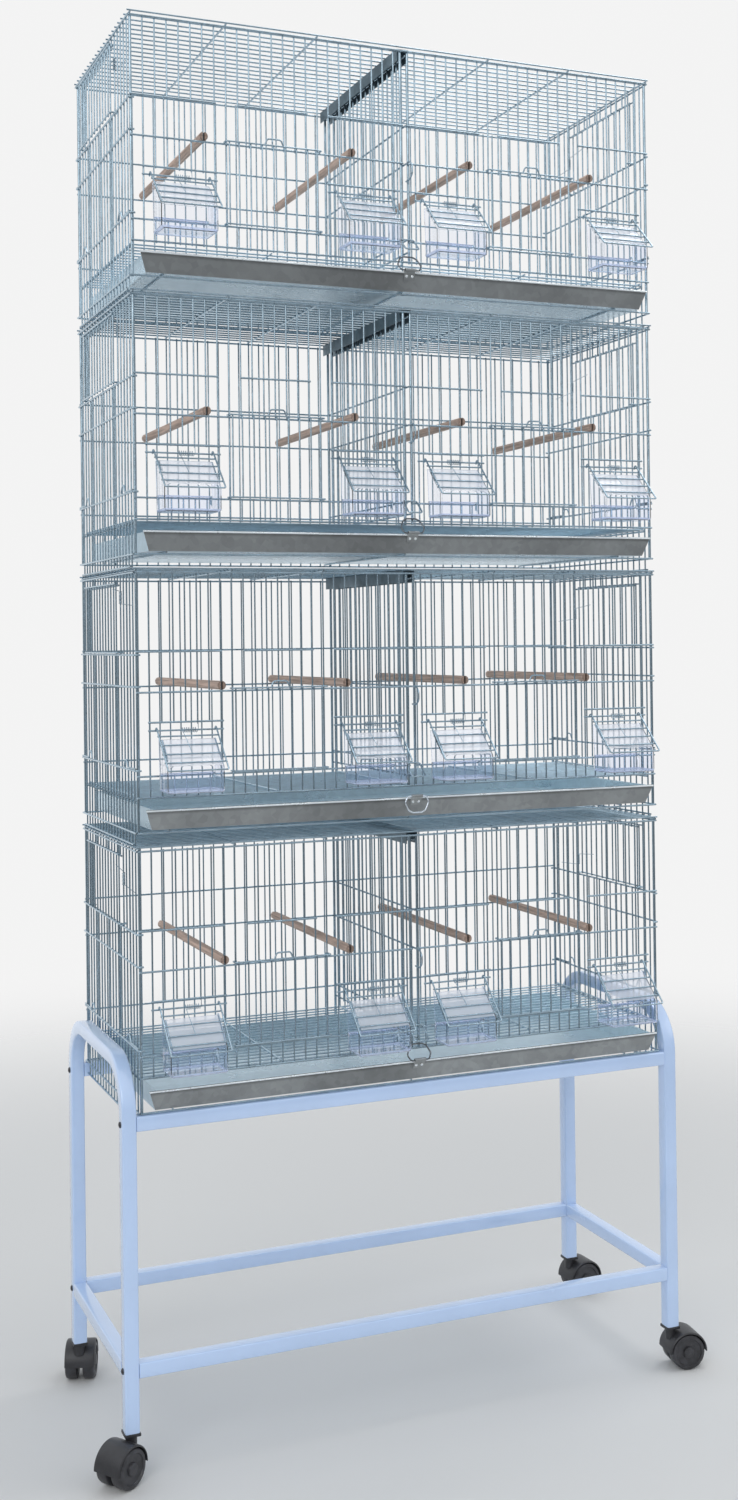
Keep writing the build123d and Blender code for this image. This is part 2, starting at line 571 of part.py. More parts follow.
# Tray: folded sheet with a flared front lip, and the bracket that holds the pull ring
TRAY_REAR = REAR_FACE - POST - RUN_GAP
TRAY_FRONT = RAIL_LINE - RAIL - RUN_GAP
TRAY_TOP = TRAY_BOTTOM + TRAY_HEIGHT
lip_length = math.hypot(TRAY_LIP_OUT, TRAY_HEIGHT)
lip_up = (0, -TRAY_LIP_OUT / lip_length, TRAY_HEIGHT / lip_length)
lip_out = (0, -TRAY_HEIGHT / lip_length, -TRAY_LIP_OUT / lip_length)


def lip_point(up, out):
    """Y and Z of a point by the lip, from its lower edge up the sheet and out of it."""
    y = TRAY_FRONT + up * lip_up[1] + out * lip_out[1]
    z = TRAY_BOTTOM + up * lip_up[2] + out * lip_out[2]
    return y, z


with BuildPart() as tray_sheet:
    with BuildSketch(Plane.YZ.offset(-TRAY_WIDTH / 2)):
        with BuildLine():
            Polyline(
                (TRAY_FRONT, TRAY_BOTTOM),
                (TRAY_REAR, TRAY_BOTTOM),
                (TRAY_REAR, TRAY_TOP),
                (TRAY_FRONT - TRAY_LIP_OUT, TRAY_TOP),
                close=True,
            )
        make_face()
    extrude(amount=TRAY_WIDTH)
    with BuildSketch(Plane.YZ.offset(-TRAY_WIDTH / 2 + TRAY_SHEET)):
        with BuildLine():
            Polyline(
                (TRAY_FRONT - TRAY_LIP_OUT, TRAY_BOTTOM + TRAY_SHEET),
                (TRAY_REAR - TRAY_SHEET, TRAY_BOTTOM + TRAY_SHEET),
                (TRAY_REAR - TRAY_SHEET, TRAY_TOP + TRAY_SHEET),
                (TRAY_FRONT - TRAY_LIP_OUT, TRAY_TOP + TRAY_SHEET),
                close=True,
            )
        make_face()
    extrude(amount=TRAY_WIDTH - 2 * TRAY_SHEET, mode=Mode.SUBTRACT)
    lip_plane = Plane(origin=(0, TRAY_FRONT, TRAY_BOTTOM), x_dir=(1, 0, 0), z_dir=lip_out)
    with BuildSketch(lip_plane):
        with BuildLine():
            Polyline(
                (-TRAY_WIDTH / 2, 0),
                (TRAY_WIDTH / 2, 0),
                (TRAY_LIP_WIDTH / 2, lip_length),
                (-TRAY_LIP_WIDTH / 2, lip_length),
                close=True,
            )
        make_face()
    extrude(amount=-TRAY_SHEET)

RING_ROOM = RING_WIRE * math.sqrt(0.5) + TRAY_GAP
RING_AXIS_UP = lip_length + RING_RISE
RING_AXIS_OUT = WELD_GAP + BRACKET_SHEET + RING_ROOM
RING_AXIS = lip_point(RING_AXIS_UP, RING_AXIS_OUT)
with BuildPart() as tray_bracket:
    curl_top = RING_AXIS_UP + RING_ROOM
    curl_out = RING_AXIS_OUT + RING_ROOM
    curl_low = RING_AXIS_UP - RING_ROOM
    outline = [
        (curl_top + BRACKET_SHEET - BRACKET_HEIGHT, WELD_GAP),
        (curl_top + BRACKET_SHEET, WELD_GAP),
        (curl_top + BRACKET_SHEET, curl_out + BRACKET_SHEET),
        (curl_low, curl_out + BRACKET_SHEET),
        (curl_low, curl_out),
        (curl_top, curl_out),
        (curl_top, WELD_GAP + BRACKET_SHEET),
        (curl_top + BRACKET_SHEET - BRACKET_HEIGHT, WELD_GAP + BRACKET_SHEET),
    ]
    with BuildSketch(Plane.YZ.offset(-BRACKET_WIDTH / 2)):
        with BuildLine():
            Polyline(*[lip_point(*point) for point in outline], close=True)
        make_face()
    extrude(amount=BRACKET_WIDTH)

with BuildPart() as tray:
    add(tray_sheet.part)
    add(tray_bracket.part)
for tier, place in enumerate(TIER_PLACES, 1):
    write_at(tray, f"tray_{tier}", [place])

# Pull rings: one hangs, the others are raised and lean back
for tier, base in enumerate(TIER_BASES, 1):
    lean = math.radians(180 if tier == HANGING_RING_TIER else RING_LEAN)
    ring_out = (0, -math.cos(lean), math.sin(lean))
    ring_plane = Plane(origin=(0, RING_AXIS[0], RING_AXIS[1] + base), x_dir=(1, 0, 0), z_dir=ring_out)
    with BuildPart() as tray_ring:
        with BuildSketch(ring_plane):
            with BuildLine():
                Polyline(
                    (-RING_NECK / 2, -RING_WIRE / 2),
                    (RING_NECK / 2, -RING_WIRE / 2),
                    (RING_WIDTH / 2, RING_BELLY),
                    (RING_NECK / 2, RING_HEIGHT),
                    (-RING_NECK / 2, RING_HEIGHT),
                    (-RING_WIDTH / 2, RING_BELLY),
                    close=True,
                )
            face = make_face()
            chamfer(face.vertices().group_by(Axis.Y)[-1], RING_CHAMFER)
            offset(amount=-RING_WIRE, mode=Mode.SUBTRACT)
        extrude(amount=RING_WIRE / 2, both=True)
    write(tray_ring, f"tray_ring_{tier}")

# Perches: dowels whose slotted ends straddle a bar and rest on the middle rails
PERCH_FLAT = MID_RAIL + RAIL_HALF + WELD_GAP
PERCH_LENGTH = CAGE_DEPTH + 2 * PERCH_NOSE
with BuildPart() as perch:
    with BuildSketch(Plane.ZX.offset(-PERCH_LENGTH / 2)):
        with Locations((PERCH_FLAT + PERCH_WIDTH / 2, 0)):
            RegularPolygon(PERCH_WIDTH / 2, PERCH_SIDES, major_radius=False, rotation=180 / PERCH_SIDES)
    extrude(amount=PERCH_LENGTH)
    slot_depth = PERCH_NOSE + BAR + RUN_GAP
    slot_y = PERCH_LENGTH / 2 - slot_depth / 2
    with Locations((0, -slot_y, PERCH_FLAT), (0, slot_y, PERCH_FLAT)):
        Box(PERCH_SLOT, slot_depth, 3 * PERCH_WIDTH, mode=Mode.SUBTRACT)
perch_places = []
for base, columns in zip(TIER_BASES, PERCH_COLUMNS):
    for column, half in zip(columns, (-1, -1, 1, 1)):
        perch_places.append((column_x(column, half), 0, base))
write_at(perch, "perches", perch_places)

# Stand: two bent end frames
FRAME_X = SIDE_OUT + FRAME_ROOM + TUBE / 2
LEG_Y = LEG_SPREAD / 2
with BuildPart() as end_frame:
    with BuildLine() as bent_line:
        FilletPolyline(
            (FRAME_X, -LEG_Y, LEG_FOOT),
            (FRAME_X, -LEG_Y, FRAME_TOP - TUBE / 2),
            (FRAME_X, LEG_Y, FRAME_TOP - TUBE / 2),
            (FRAME_X, LEG_Y, LEG_FOOT),
            radius=BEND_RADIUS,
        )
    with BuildSketch(Plane((FRAME_X, -LEG_Y, LEG_FOOT), x_dir=(1, 0, 0), z_dir=(0, 0, 1))):
        Rectangle(TUBE, TUBE)
    sweep()
    with BuildSketch(Plane.XY.offset(LEG_FOOT)):
        with Locations((FRAME_X, -LEG_Y), (FRAME_X, LEG_Y)):
            Rectangle(TUBE - 2 * TUBE_WALL, TUBE - 2 * TUBE_WALL)
    extrude(amount=FRAME_TOP - TUBE / 2 - BEND_RADIUS - LEG_FOOT, mode=Mode.SUBTRACT)
with BuildPart() as end_frames:
    add(end_frame.part)
    mirror(about=Plane.YZ)
write(end_frames, "end_frames")

# Rails of the stand: two under the cage, two low ones, and a low side bar in each end frame
STAND_RAIL_TOP = CAGE_BASE - RAIL_HALF - WELD_GAP
RAIL_END = FRAME_X - TUBE / 2 - WELD_GAP
SIDE_BAR_END = LEG_Y - TUBE / 2 - WELD_GAP


def tube_section(plane, points):
    """Hollow square tube sections on a plane."""
    with BuildSketch(plane) as section:
        with Locations(*points):
            Rectangle(TUBE, TUBE)
            Rectangle(TUBE - 2 * TUBE_WALL, TUBE - 2 * TUBE_WALL, mode=Mode.SUBTRACT)
    return section.sketch


with BuildPart() as stand_rails:
    levels = (STAND_RAIL_TOP - TUBE / 2, LOWER_RAIL_LEVEL)
    rail_points = [(y, z) for y in (-LEG_Y, LEG_Y) for z in levels]
    extrude(tube_section(Plane.YZ.offset(-RAIL_END), rail_points), amount=2 * RAIL_END)
    bar_points = [(LOWER_RAIL_LEVEL, x) for x in (-FRAME_X, FRAME_X)]
    extrude(tube_section(Plane.ZX.offset(-SIDE_BAR_END), bar_points), amount=2 * SIDE_BAR_END)
write(stand_rails, "stand_rails")

# Screw heads on the outer faces of the legs, in line with the rails
with BuildPart() as frame_screws:
    head_points = [(y, z) for y in (-LEG_Y, LEG_Y) for z in levels]
    with BuildSketch(Plane.YZ.offset(FRAME_X + TUBE / 2 + WELD_GAP)) as heads:
        with Locations(*head_points):
            RegularPolygon(SCREW_HEAD / 2, 6)
    extrude(amount=SCREW_RISE)
    mirror(about=Plane.YZ)
write(frame_screws, "frame_screws")

# Plugs in the leg ends, which take the caster stems
LEGS = [(-FRAME_X, -LEG_Y), (FRAME_X, -LEG_Y), (-FRAME_X, LEG_Y), (FRAME_X, LEG_Y)]
with BuildPart() as leg_plug:
    with BuildSketch(Plane.XY.offset(LEG_FOOT - WELD_GAP - SOCKET_PLATE)):
        Rectangle(TUBE + 2 * SOCKET_RIM, TUBE + 2 * SOCKET_RIM)
        RegularPolygon(STEM_DIAMETER / 2 + AXLE_FIT, STEM_SIDES, major_radius=False, mode=Mode.SUBTRACT)
    extrude(amount=SOCKET_PLATE)
write_at(leg_plug, "leg_plugs", [(x, y, 0) for x, y in LEGS])

# Casters: a stemmed hood over a pair of wheels on one axle, drawn trailing towards +X
WHEEL_RADIUS = WHEEL_DIAMETER / 2
HOOD_INNER = WHEEL_RADIUS + HOOD_GAP
HOOD_OUTER = HOOD_INNER + HOOD_WALL
HOOD_SPAN = CASTER_WEB + 2 * (WHEEL_WIDTH + WHEEL_GAP)
STEM_TOP = LEG_FOOT + STEM_RISE
SHOULDER = LEG_FOOT - WELD_GAP - SOCKET_PLATE - AXLE_FIT
FLAT_DOWN = 180 / WHEEL_SIDES - 90
with BuildPart() as caster_yoke:
    with BuildSketch(Plane.XZ.offset(-HOOD_SPAN / 2)):
        with Locations((CASTER_TRAIL, WHEEL_RADIUS)):
            RegularPolygon(HOOD_OUTER, HOOD_SIDES, major_radius=False)
        with Locations((CASTER_TRAIL, WHEEL_RADIUS - HOOD_OUTER)):
            Rectangle(3 * HOOD_OUTER, 2 * HOOD_OUTER, mode=Mode.SUBTRACT)
    extrude(amount=HOOD_SPAN)
    with BuildSketch(Plane.XY.offset(WHEEL_RADIUS)):
        RegularPolygon(STEM_DIAMETER / 2 + HOOD_WALL, STEM_SIDES)
    extrude(amount=SHOULDER - WHEEL_RADIUS)
    with BuildSketch(Plane.XZ.offset(-HOOD_SPAN / 2)):
        with Locations((CASTER_TRAIL, WHEEL_RADIUS)):
            RegularPolygon(HOOD_INNER, HOOD_SIDES, major_radius=False)
    extrude(amount=HOOD_SPAN, mode=Mode.SUBTRACT)
    with BuildSketch(Plane.XZ.offset(-CASTER_WEB / 2)):
        with Locations((CASTER_TRAIL, WHEEL_RADIUS)):
            RegularPolygon(HOOD_INNER + HOOD_WALL / 2, HOOD_SIDES, major_radius=False)
        with Locations((CASTER_TRAIL, WHEEL_RADIUS - AXLE_DIAMETER - HOOD_OUTER)):
            Rectangle(3 * HOOD_OUTER, 2 * HOOD_OUTER, mode=Mode.SUBTRACT)
        with Locations((CASTER_TRAIL, WHEEL_RADIUS - AXLE_DIAMETER / 2)):
            slot_width = AXLE_DIAMETER + 2 * AXLE_FIT
            Rectangle(slot_width, 2 * AXLE_DIAMETER + 2 * AXLE_FIT, mode=Mode.SUBTRACT)
    extrude(amount=CASTER_WEB)
    with BuildSketch(Plane.XY.offset(SHOULDER)):
        RegularPolygon(STEM_DIAMETER / 2, STEM_SIDES)
    extrude(amount=STEM_TOP - SHOULDER)
with BuildPart() as caster_wheels:
    with BuildSketch(Plane.XZ.offset(-HOOD_SPAN / 2 + WHEEL_WIDTH / 2)):
        with Locations((CASTER_TRAIL, WHEEL_RADIUS)):
            RegularPolygon(AXLE_DIAMETER / 2, STEM_SIDES)
    extrude(amount=HOOD_SPAN - WHEEL_WIDTH)
    for outset in (-HOOD_SPAN / 2, HOOD_SPAN / 2 - WHEEL_WIDTH):
        with BuildSketch(Plane.XZ.offset(outset)):
            with Locations((CASTER_TRAIL, WHEEL_RADIUS)):
                RegularPolygon(WHEEL_RADIUS, WHEEL_SIDES, major_radius=False, rotation=FLAT_DOWN)
        extrude(amount=WHEEL_WIDTH)
CORNERS = ("front_left", "front_right", "rear_left", "rear_right")
for corner, (x, y), turn in zip(CORNERS, LEGS, CASTER_TURNS):
    spot = Location((x, y, 0), (0, 0, turn))
    write_at(caster_yoke, f"caster_yoke_{corner}", [spot])
    write_at(caster_wheels, f"caster_wheels_{corner}", [spot])
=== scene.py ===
"""Looks of a four-tier breeding bird cage on a wheeled stand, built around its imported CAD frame.

Metres, +Z up, front towards -Y, origin on the floor below the middle of the stand.
Heights inside a cage are counted from the middle of its bottom rail, and tier 1 is the top cage.
"""

import json
import math
from types import SimpleNamespace

import bmesh
import bpy
from bpy.props import FloatProperty, FloatVectorProperty, IntProperty, PointerProperty
from bpy.types import NodeSocket, Operator, Panel, PropertyGroup
from mathutils import Matrix, Vector


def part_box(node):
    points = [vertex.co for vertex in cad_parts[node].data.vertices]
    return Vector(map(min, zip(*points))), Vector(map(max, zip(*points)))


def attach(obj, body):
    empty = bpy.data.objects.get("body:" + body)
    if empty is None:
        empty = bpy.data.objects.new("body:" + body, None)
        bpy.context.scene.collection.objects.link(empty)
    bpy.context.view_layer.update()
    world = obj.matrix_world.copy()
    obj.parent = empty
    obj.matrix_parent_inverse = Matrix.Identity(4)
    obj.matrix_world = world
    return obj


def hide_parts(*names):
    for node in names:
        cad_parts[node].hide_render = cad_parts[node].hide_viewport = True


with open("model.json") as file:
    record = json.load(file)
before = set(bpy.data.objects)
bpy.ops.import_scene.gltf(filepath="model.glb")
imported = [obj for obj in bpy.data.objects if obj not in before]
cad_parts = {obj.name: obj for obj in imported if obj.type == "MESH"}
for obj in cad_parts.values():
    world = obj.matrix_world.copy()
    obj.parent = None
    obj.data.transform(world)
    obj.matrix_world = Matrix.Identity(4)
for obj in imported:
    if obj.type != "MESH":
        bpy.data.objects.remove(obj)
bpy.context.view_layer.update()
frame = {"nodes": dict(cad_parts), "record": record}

bl_info = {
    "name": "Breeding bird cage",
    "version": (1, 0, 0),
    "blender": (4, 5, 0),
    "location": "View3D > Sidebar > Bird cage",
    "description": "Wire cages with sprung feeders, sliding doors and trays on a wheeled tube stand",
    "category": "Object",
}

ROOT = "cages_on_stand"
TIERS = (1, 2, 3, 4)
HALVES = (-1, 1)
SIDES = ((-1, "left"), (1, "right"))
FEEDER_LETTERS = "abcd"
CORNERS = ("front_left", "front_right", "rear_left", "rear_right")
FINISH_PREFIX = "look_"
# UV of the lip, which places its painted shade and painted sheens.
LIP_UV = "lip"

# Room between welded wires, round what moves, under what lies loose, and round what slides.
HAIR = 0.00002
RUN_GAP = 0.0004
SEAT_GAP = 0.0003
SLIDE_GAP = 0.00015
# Half the height of a three-sided CAD wire as a share of its thickness.
FLAT_SHARE = 1 / math.sqrt(3)
# Underside of a tray over the middle of the bottom rail.
TRAY_LIFT = 0.003871
WIRE_SIDES = 10
THIN_SIDES = 8
SMOOTH_ANGLE = math.radians(35)
WIRE_END_ANGLE = 1.0

# How things stand on this cage: perches by bar, clips by level, casters and rings by angle.
PERCH_COLUMNS = ((6, 19, 18, 6), (6, 19, 19, 6), (7, 18, 19, 7), (7, 18, 19, 7))
CLIP_LEVELS = ((0.286, 0.268), (0.290, 0.272), (0.294, 0.272), (0.280, 0.243))
CASTER_TURNS = (215.0, -8.0, 70.0, 4.0)
HANGING_RING_TIER = 3
RING_LEAN = 25.0

HINGE_SHARE = 0.9
RUNNER_INSET = 3
# Latch wire past its knee: along the side rail, and over the rail's middle where it leaves the rail.
LATCH_HOOK = ((0.007, 0.0), (0.002, 0.012), (-0.007, 0.011), (-0.012, 0.0))
LATCH_END = 0.001
LATCH_BEND = 0.004
CLIP = SimpleNamespace(turns=9, steps=10, droop=0.06, rise=0.1)
HOOK_BEND_SHARE = 0.9
HOOK_TIP = 4
NEST_EDGE_BARS = 2.5
FINGER = SimpleNamespace(half=0.013, shoulder=0.72, rise=0.0062, bend=0.004)
FLAP_CROSS_SHARES = (0.17, 0.38, 0.59, 0.79)
FLAP_CURL = (250, 100, 5)
FLAP_BEND = 0.0025
SPRING = SimpleNamespace(
    offset=0.004, slant=0.004, lie=0.6, clear=1.3, rise=0.005, hook=0.003, bend=0.0006, steps=12,
)
CUP = SimpleNamespace(
    corner=0.0035, corner_steps=4, corner_area=0.0002, level=-0.99, tilted=0.3, window_area=0.001,
    inset=0.003, soft=0.0004,
)
DIVIDER = SimpleNamespace(
    bottom=0.056, top_gap=0.006, loop_half=0.01, loop_out=0.0185, loop_drop=0.0168, loop_bend=0.0028,
)
# Handle of a divider: out from the front and down from the middle rail.
DIVIDER_HANDLE = ((0.0, 0.0), (0.013, 0.0), (0.021, 0.006), (0.021, 0.018), (0.013, 0.024), (0.0, 0.024))
HANDLE_BEND = 0.006
HEM = SimpleNamespace(
    lip=0.0026, wall=0.0014, drop=0.0013, inset=0.0006, start=0.002, rear=0.0008, bend=0.001,
)
BRACKET_PLATE = 0.001
BRACKET_CURL = (180, -30, 7)
# Rivet's dome as radius and height, and its place on the bracket as shares of the bracket's width.
RIVET_DOME = ((0.0, -0.0002), (0.0019, -0.0002), (0.0018, 0.0005), (0.0012, 0.001), (0.0, 0.0012))
RIVET = SimpleNamespace(aside=0.26, below=0.52, sides=14)
RING = SimpleNamespace(shoulder=0.92, shoulder_rise=0.86, crown=0.5, bend=0.0045, sides=12)
PERCH = SimpleNamespace(
    radius=0.00575, nose=0.0034, soft=0.0008, slot_half=0.0015, over=0.002, dark=0.0035, sides=24,
)
FRAME_GAP = 0.004
BEND_STEPS = 14
# Screw head as shares of its radius and heights, and the two arms of its cross recess.
SCREW_DOME = (
    (0.0, 0.0), (1.0, 0.0), (1.0, 0.0006), (0.93, 0.0013), (0.72, 0.002), (0.4, 0.0024), (0.0, 0.0025),
)
SCREW_CROSS = ((0.0022, 0.0005), (0.0005, 0.0022))
SCREW = SimpleNamespace(radius=0.004, recess=0.0012, over=0.004, sides=20)
PLUG = SimpleNamespace(over=0.001, thick=0.004, soft=0.0008)
CASTER = SimpleNamespace(
    web=0.007, play=0.0005, hood_room=0.0015, hood=0.0025, steps=20, bite=0.001,
    web_end=0.007, web_drop=0.006,
    bore=0.005, neck=0.0024, neck_soft=0.0018, neck_step=0.0008, neck_gap=0.0001, neck_sides=24,
    stem_room=0.0003, stem_soft=0.0012, stem_shank=0.023, stem_top=0.024, axle=0.003, axle_bite=0.004,
    axle_sides=16, wheel_sides=48,
)
# Edge of a caster's hood: in from its side and down from its top.
HOOD_EDGE = ((0.0, 0.002), (0.0012, 0.0004), (0.003, 0.0))
# Wheel: in from the tread and from its inner face, then its outer face; then the hub cap's radius and depth.
WHEEL_INNER = ((0.002, 0.0), (0.0006, 0.0007), (0.0, 0.0022))
WHEEL_OUTER = ((0.0, 0.0035), (0.0009, 0.0012), (0.003, 0.0), (0.0055, 0.0), (0.0065, 0.0018))
HUB_CAP = ((0.0085, 0.0026), (0.0078, 0.0004), (0.0066, 0.0), (0.0, 0.0))

# Finishes: colour, its share, its share where dulled, metal, bump, then patch scale and amount, grain scale,
# and gloss from low to high.
FINISHES = {
    "zinc_wire": ("zinc", 1.0, 0.5, 0.95, 0.00004, 55.0, 0.5, 1500.0, 0.14, 0.28),
    # The grate's finish is the zinc colour 1.2 times as bright: painted light for the light that the bright
    # pans below throw onto it.
    "grate_wire": ("zinc", 1.2, 0.7, 0.9, 0.00004, 55.0, 0.5, 1500.0, 0.25, 0.4),
    "zinc_sheet": ("sheet", 1.0, 0.6, 0.75, 0.00003, 16.0, 0.4, 700.0, 0.32, 0.58),
    "zinc_lip": ("lip", 1.0, 0.7, 0.7, 0.00003, 12.0, 0.4, 700.0, 0.34, 0.55),
    # The pans' finish is painted light: its bright colour stands in for reflections in the pans and for light
    # under the grates.
    "zinc_pan": ("pan", 1.0, 0.8, 0.8, 0.000001, 6.0, 0.3, 300.0, 0.24, 0.32),
    # The finish of the hems and rivets is the lip colour 2.9 times as bright: a painted highlight along the
    # top of the lip.
    "lip_edge": ("lip", 2.9, 2.2, 0.6, 0.00002, 30.0, 0.4, 900.0, 0.2, 0.4),
    "lip_bracket": ("lip", 1.1, 0.75, 0.7, 0.00002, 90.0, 0.6, 900.0, 0.25, 0.45),
    "ring_wire": ("ring", 1.0, 0.7, 0.9, 0.00002, 90.0, 0.4, 1500.0, 0.14, 0.26),
    # The hanging ring's finish is the ring colour five times as bright: a painted highlight on that ring.
    "ring_bright": ("ring", 5.0, 3.5, 0.9, 0.00002, 90.0, 0.4, 1500.0, 0.14, 0.26),
    "white_tube": ("powder", 1.0, 0.78, 0.0, 0.00003, 9.0, 0.3, 520.0, 0.16, 0.28),
    "dark_screw": ("screw", 1.0, 1 / 3, 0.8, 0.00002, 300.0, 0.6, 2400.0, 0.3, 0.5),
    "black_plastic": ("black", 1.0, 2.2, 0.0, 0.00005, 60.0, 0.5, 1800.0, 0.34, 0.52),
    "black_wheel": ("black", 1.1, 3.2, 0.0, 0.00004, 90.0, 0.7, 1400.0, 0.28, 0.55),
}
MOTTLE = ("Patch Scale", "Patch Amount", "Grain Scale", "Gloss Low", "Gloss High")
SPANGLE_SCALE = 120.0
SPANGLES = {"zinc_sheet": 0.14, "zinc_lip": 0.08, "zinc_pan": 0.04}
TUBE_COAT = {"Coat Weight": 1.0, "Coat Roughness": 0.1, "Coat IOR": 1.65}
# Clear finishes: colour, roughness, transmission and the share of lamp light held back.
CLEARS = {
    "clear_plastic": ("clear", 0.008, 1.0, 0.1),
    "clear_edge": ("clear_edge", 0.15, 0.75, 0.2),
    # The window finish's white diffuse share is a painted reflection of the light from above.
    "clear_window": ("clear", 0.04, 0.68, 0.2),
}
CLEAR_IOR = 1.2
WALLS_REFRACTED = 7.5
PERCH_END_SHARE = 0.5

FLOOR_HALF = 9.0
FLOOR_FADE = (0.9, 3.2)
STUDIO_DIM = 0.25
LAMP_TARGET = Vector((0, 0, 1.0))
# Lamps: place, size and power.
LAMPS = {
    "key": ((-2.8, -3.2, 2.7), 2.4, 45.0),
    "fill": ((3.2, -2.4, 2.4), 2.2, 10.0),
    "top": ((1.35, 0.0, 4.2), 1.3, 26.0),
}


def length(name, default, description):
    """A size in metres that the panel shows."""
    return FloatProperty(
        name=name, description=description, default=default, min=0.0,
        subtype="DISTANCE", unit="LENGTH", precision=5,
    )


def tint(name, default, description):
    """A colour that the panel shows."""
    return FloatVectorProperty(
        name=name, description=description, default=default, size=3, min=0.0, max=1.0, subtype="COLOR",
    )


class CageSizes(PropertyGroup):
    """Wires and levels of one cage"""
    pitch: length("Bar pitch", 0.015875, "Spacing of the upright bars")
    bar: length("Bar", 0.0022, "Thickness of bars, doors and flaps")
    rail: length("Rail", 0.0026, "Thickness of the cross rails")
    post: length("Post", 0.004, "Thickness of corner and centre posts")
    half_spaces: IntProperty(name="Half spaces", description="Bar spaces in half the width", default=24)
    depth_spaces: IntProperty(name="Depth spaces", description="Bar spaces in the depth", default=19)
    wall: length("Wall height", 0.334, "Top of the bars")
    upper: length("Upper rail", 0.231, "Level of the upper rail")
    middle: length("Middle rail", 0.179, "Level of the rail that carries the perches")
    opening: length("Opening top", 0.1405, "Level of the wire over a feeder opening")
    hinge: length("Hinge wire", 0.13, "Level of the wire that the flaps turn on")
    lower: length("Lower rail", 0.072, "Level of the rail that carries the cups")
    side_upper: length("Side upper rail", 0.227, "Level of the rail under the nest doors")
    side_middle: length("Side middle rail", 0.186, "Level of the middle rail of the sides")
    side_lower: length("Side lower rail", 0.0795, "Level of the lower rail of the sides")
    sill: length("Sill", 0.0445, "Level of the wire over the tray")
    ledge: length("Ledge", 0.04, "Level of the wires that carry the grate")
    foot: length("Foot", 0.0168, "How far the side bars stand below the bottom rail")
    slot: length("Centre slot", 0.0066, "Gap between the centre posts")
    nest_top: length("Nest door top", 0.322, "Top of the nest doors")
    side_wrap: length("Side rail wrap", 0.007, "How far the side rails turn round the corner posts")
    clip_wire: length("Clip wire", 0.0009, "Thickness of the nest doors' spring clips")
    clip_rise: length("Clip height", 0.016, "Height of a spring clip's coil")
    clip_leg: length("Clip leg", 0.05, "Length of a spring clip's legs")


class FeederSizes(PropertyGroup):
    """Flap, spring and cup"""
    slope: FloatProperty(
        name="Slope", description="Slope of a shut flap below level", default=math.radians(44),
        subtype="ANGLE", unit="ROTATION",
    )
    reach: length("Flap length", 0.074, "From the hinge wire to the end of the arms")
    width: length("Flap width", 0.079, "Between the arms")
    spring_wire: length("Spring wire", 0.0009, "Thickness of the wound wire")
    spring_length: length("Spring length", 0.02, "Length of the coil")
    spring_turns: IntProperty(name="Spring turns", description="Turns of the coil", default=7)
    spring_leg: length("Spring leg", 0.042, "Reach of the leg that presses on the flap")
    cup_width: length("Cup width", 0.075, "Width of the clear cup")
    cup_out: length("Cup depth", 0.046, "How far the cup stands out from the hinge wire")
    cup_floor: length("Cup floor", 0.052, "Level of the cup's underside")
    cup_top: length("Cup top", 0.119, "Level of the upper edge of the cup's window")
    cup_wall: length("Cup wall", 0.0015, "Thickness of the clear plastic")


class TraySizes(PropertyGroup):
    """Tray, pull ring and its bracket"""
    width: length("Tray width", 0.73, "Width of the tray between its side walls")
    lip_width: length("Lip width", 0.748, "Width of the flared lip at its top")
    height: length("Tray height", 0.026, "Height of the tray")
    sheet: length("Sheet", 0.0009, "Thickness of the sheet")
    lip_out: length("Lip flare", 0.008, "How far the lip leans out")
    ring_wire: length("Ring wire", 0.0022, "Thickness of the pull ring")
    ring_height: length("Ring height", 0.023, "Height of the pull ring")
    ring_width: length("Ring width", 0.037, "Width of the pull ring")
    ring_neck: length("Ring neck", 0.029, "Width of the ring at its hinge bar")
    ring_belly: length("Ring belly", 0.008, "From the hinge bar to the widest place")
    ring_rise: length("Ring rise", 0.002, "Hinge bar above the edge of the lip")
    bracket: length("Bracket", 0.016, "Width and height of the ring's bracket")


class StandSizes(PropertyGroup):
    """Square tube and casters"""
    tube: length("Tube", 0.019, "Width of the square tube")
    tube_corner: length("Tube corner", 0.0022, "Radius of the tube's corners")
    bend: length("Bend radius", 0.065, "Radius of the end frames' bends")
    frame_top: length("Frame top", 0.53, "Top of the end frames")
    leg_spread: length("Leg spread", 0.296, "Between the middles of front and rear legs")
    leg_foot: length("Leg foot", 0.06, "Height of the leg ends")
    low_rail: length("Low rail", 0.137, "Level of the low rails")
    wheel: length("Wheel", 0.05, "Diameter of the wheels")
    wheel_width: length("Wheel width", 0.017, "Width of one wheel")
    trail: length("Caster trail", 0.02, "Offset of the axle from the stem")


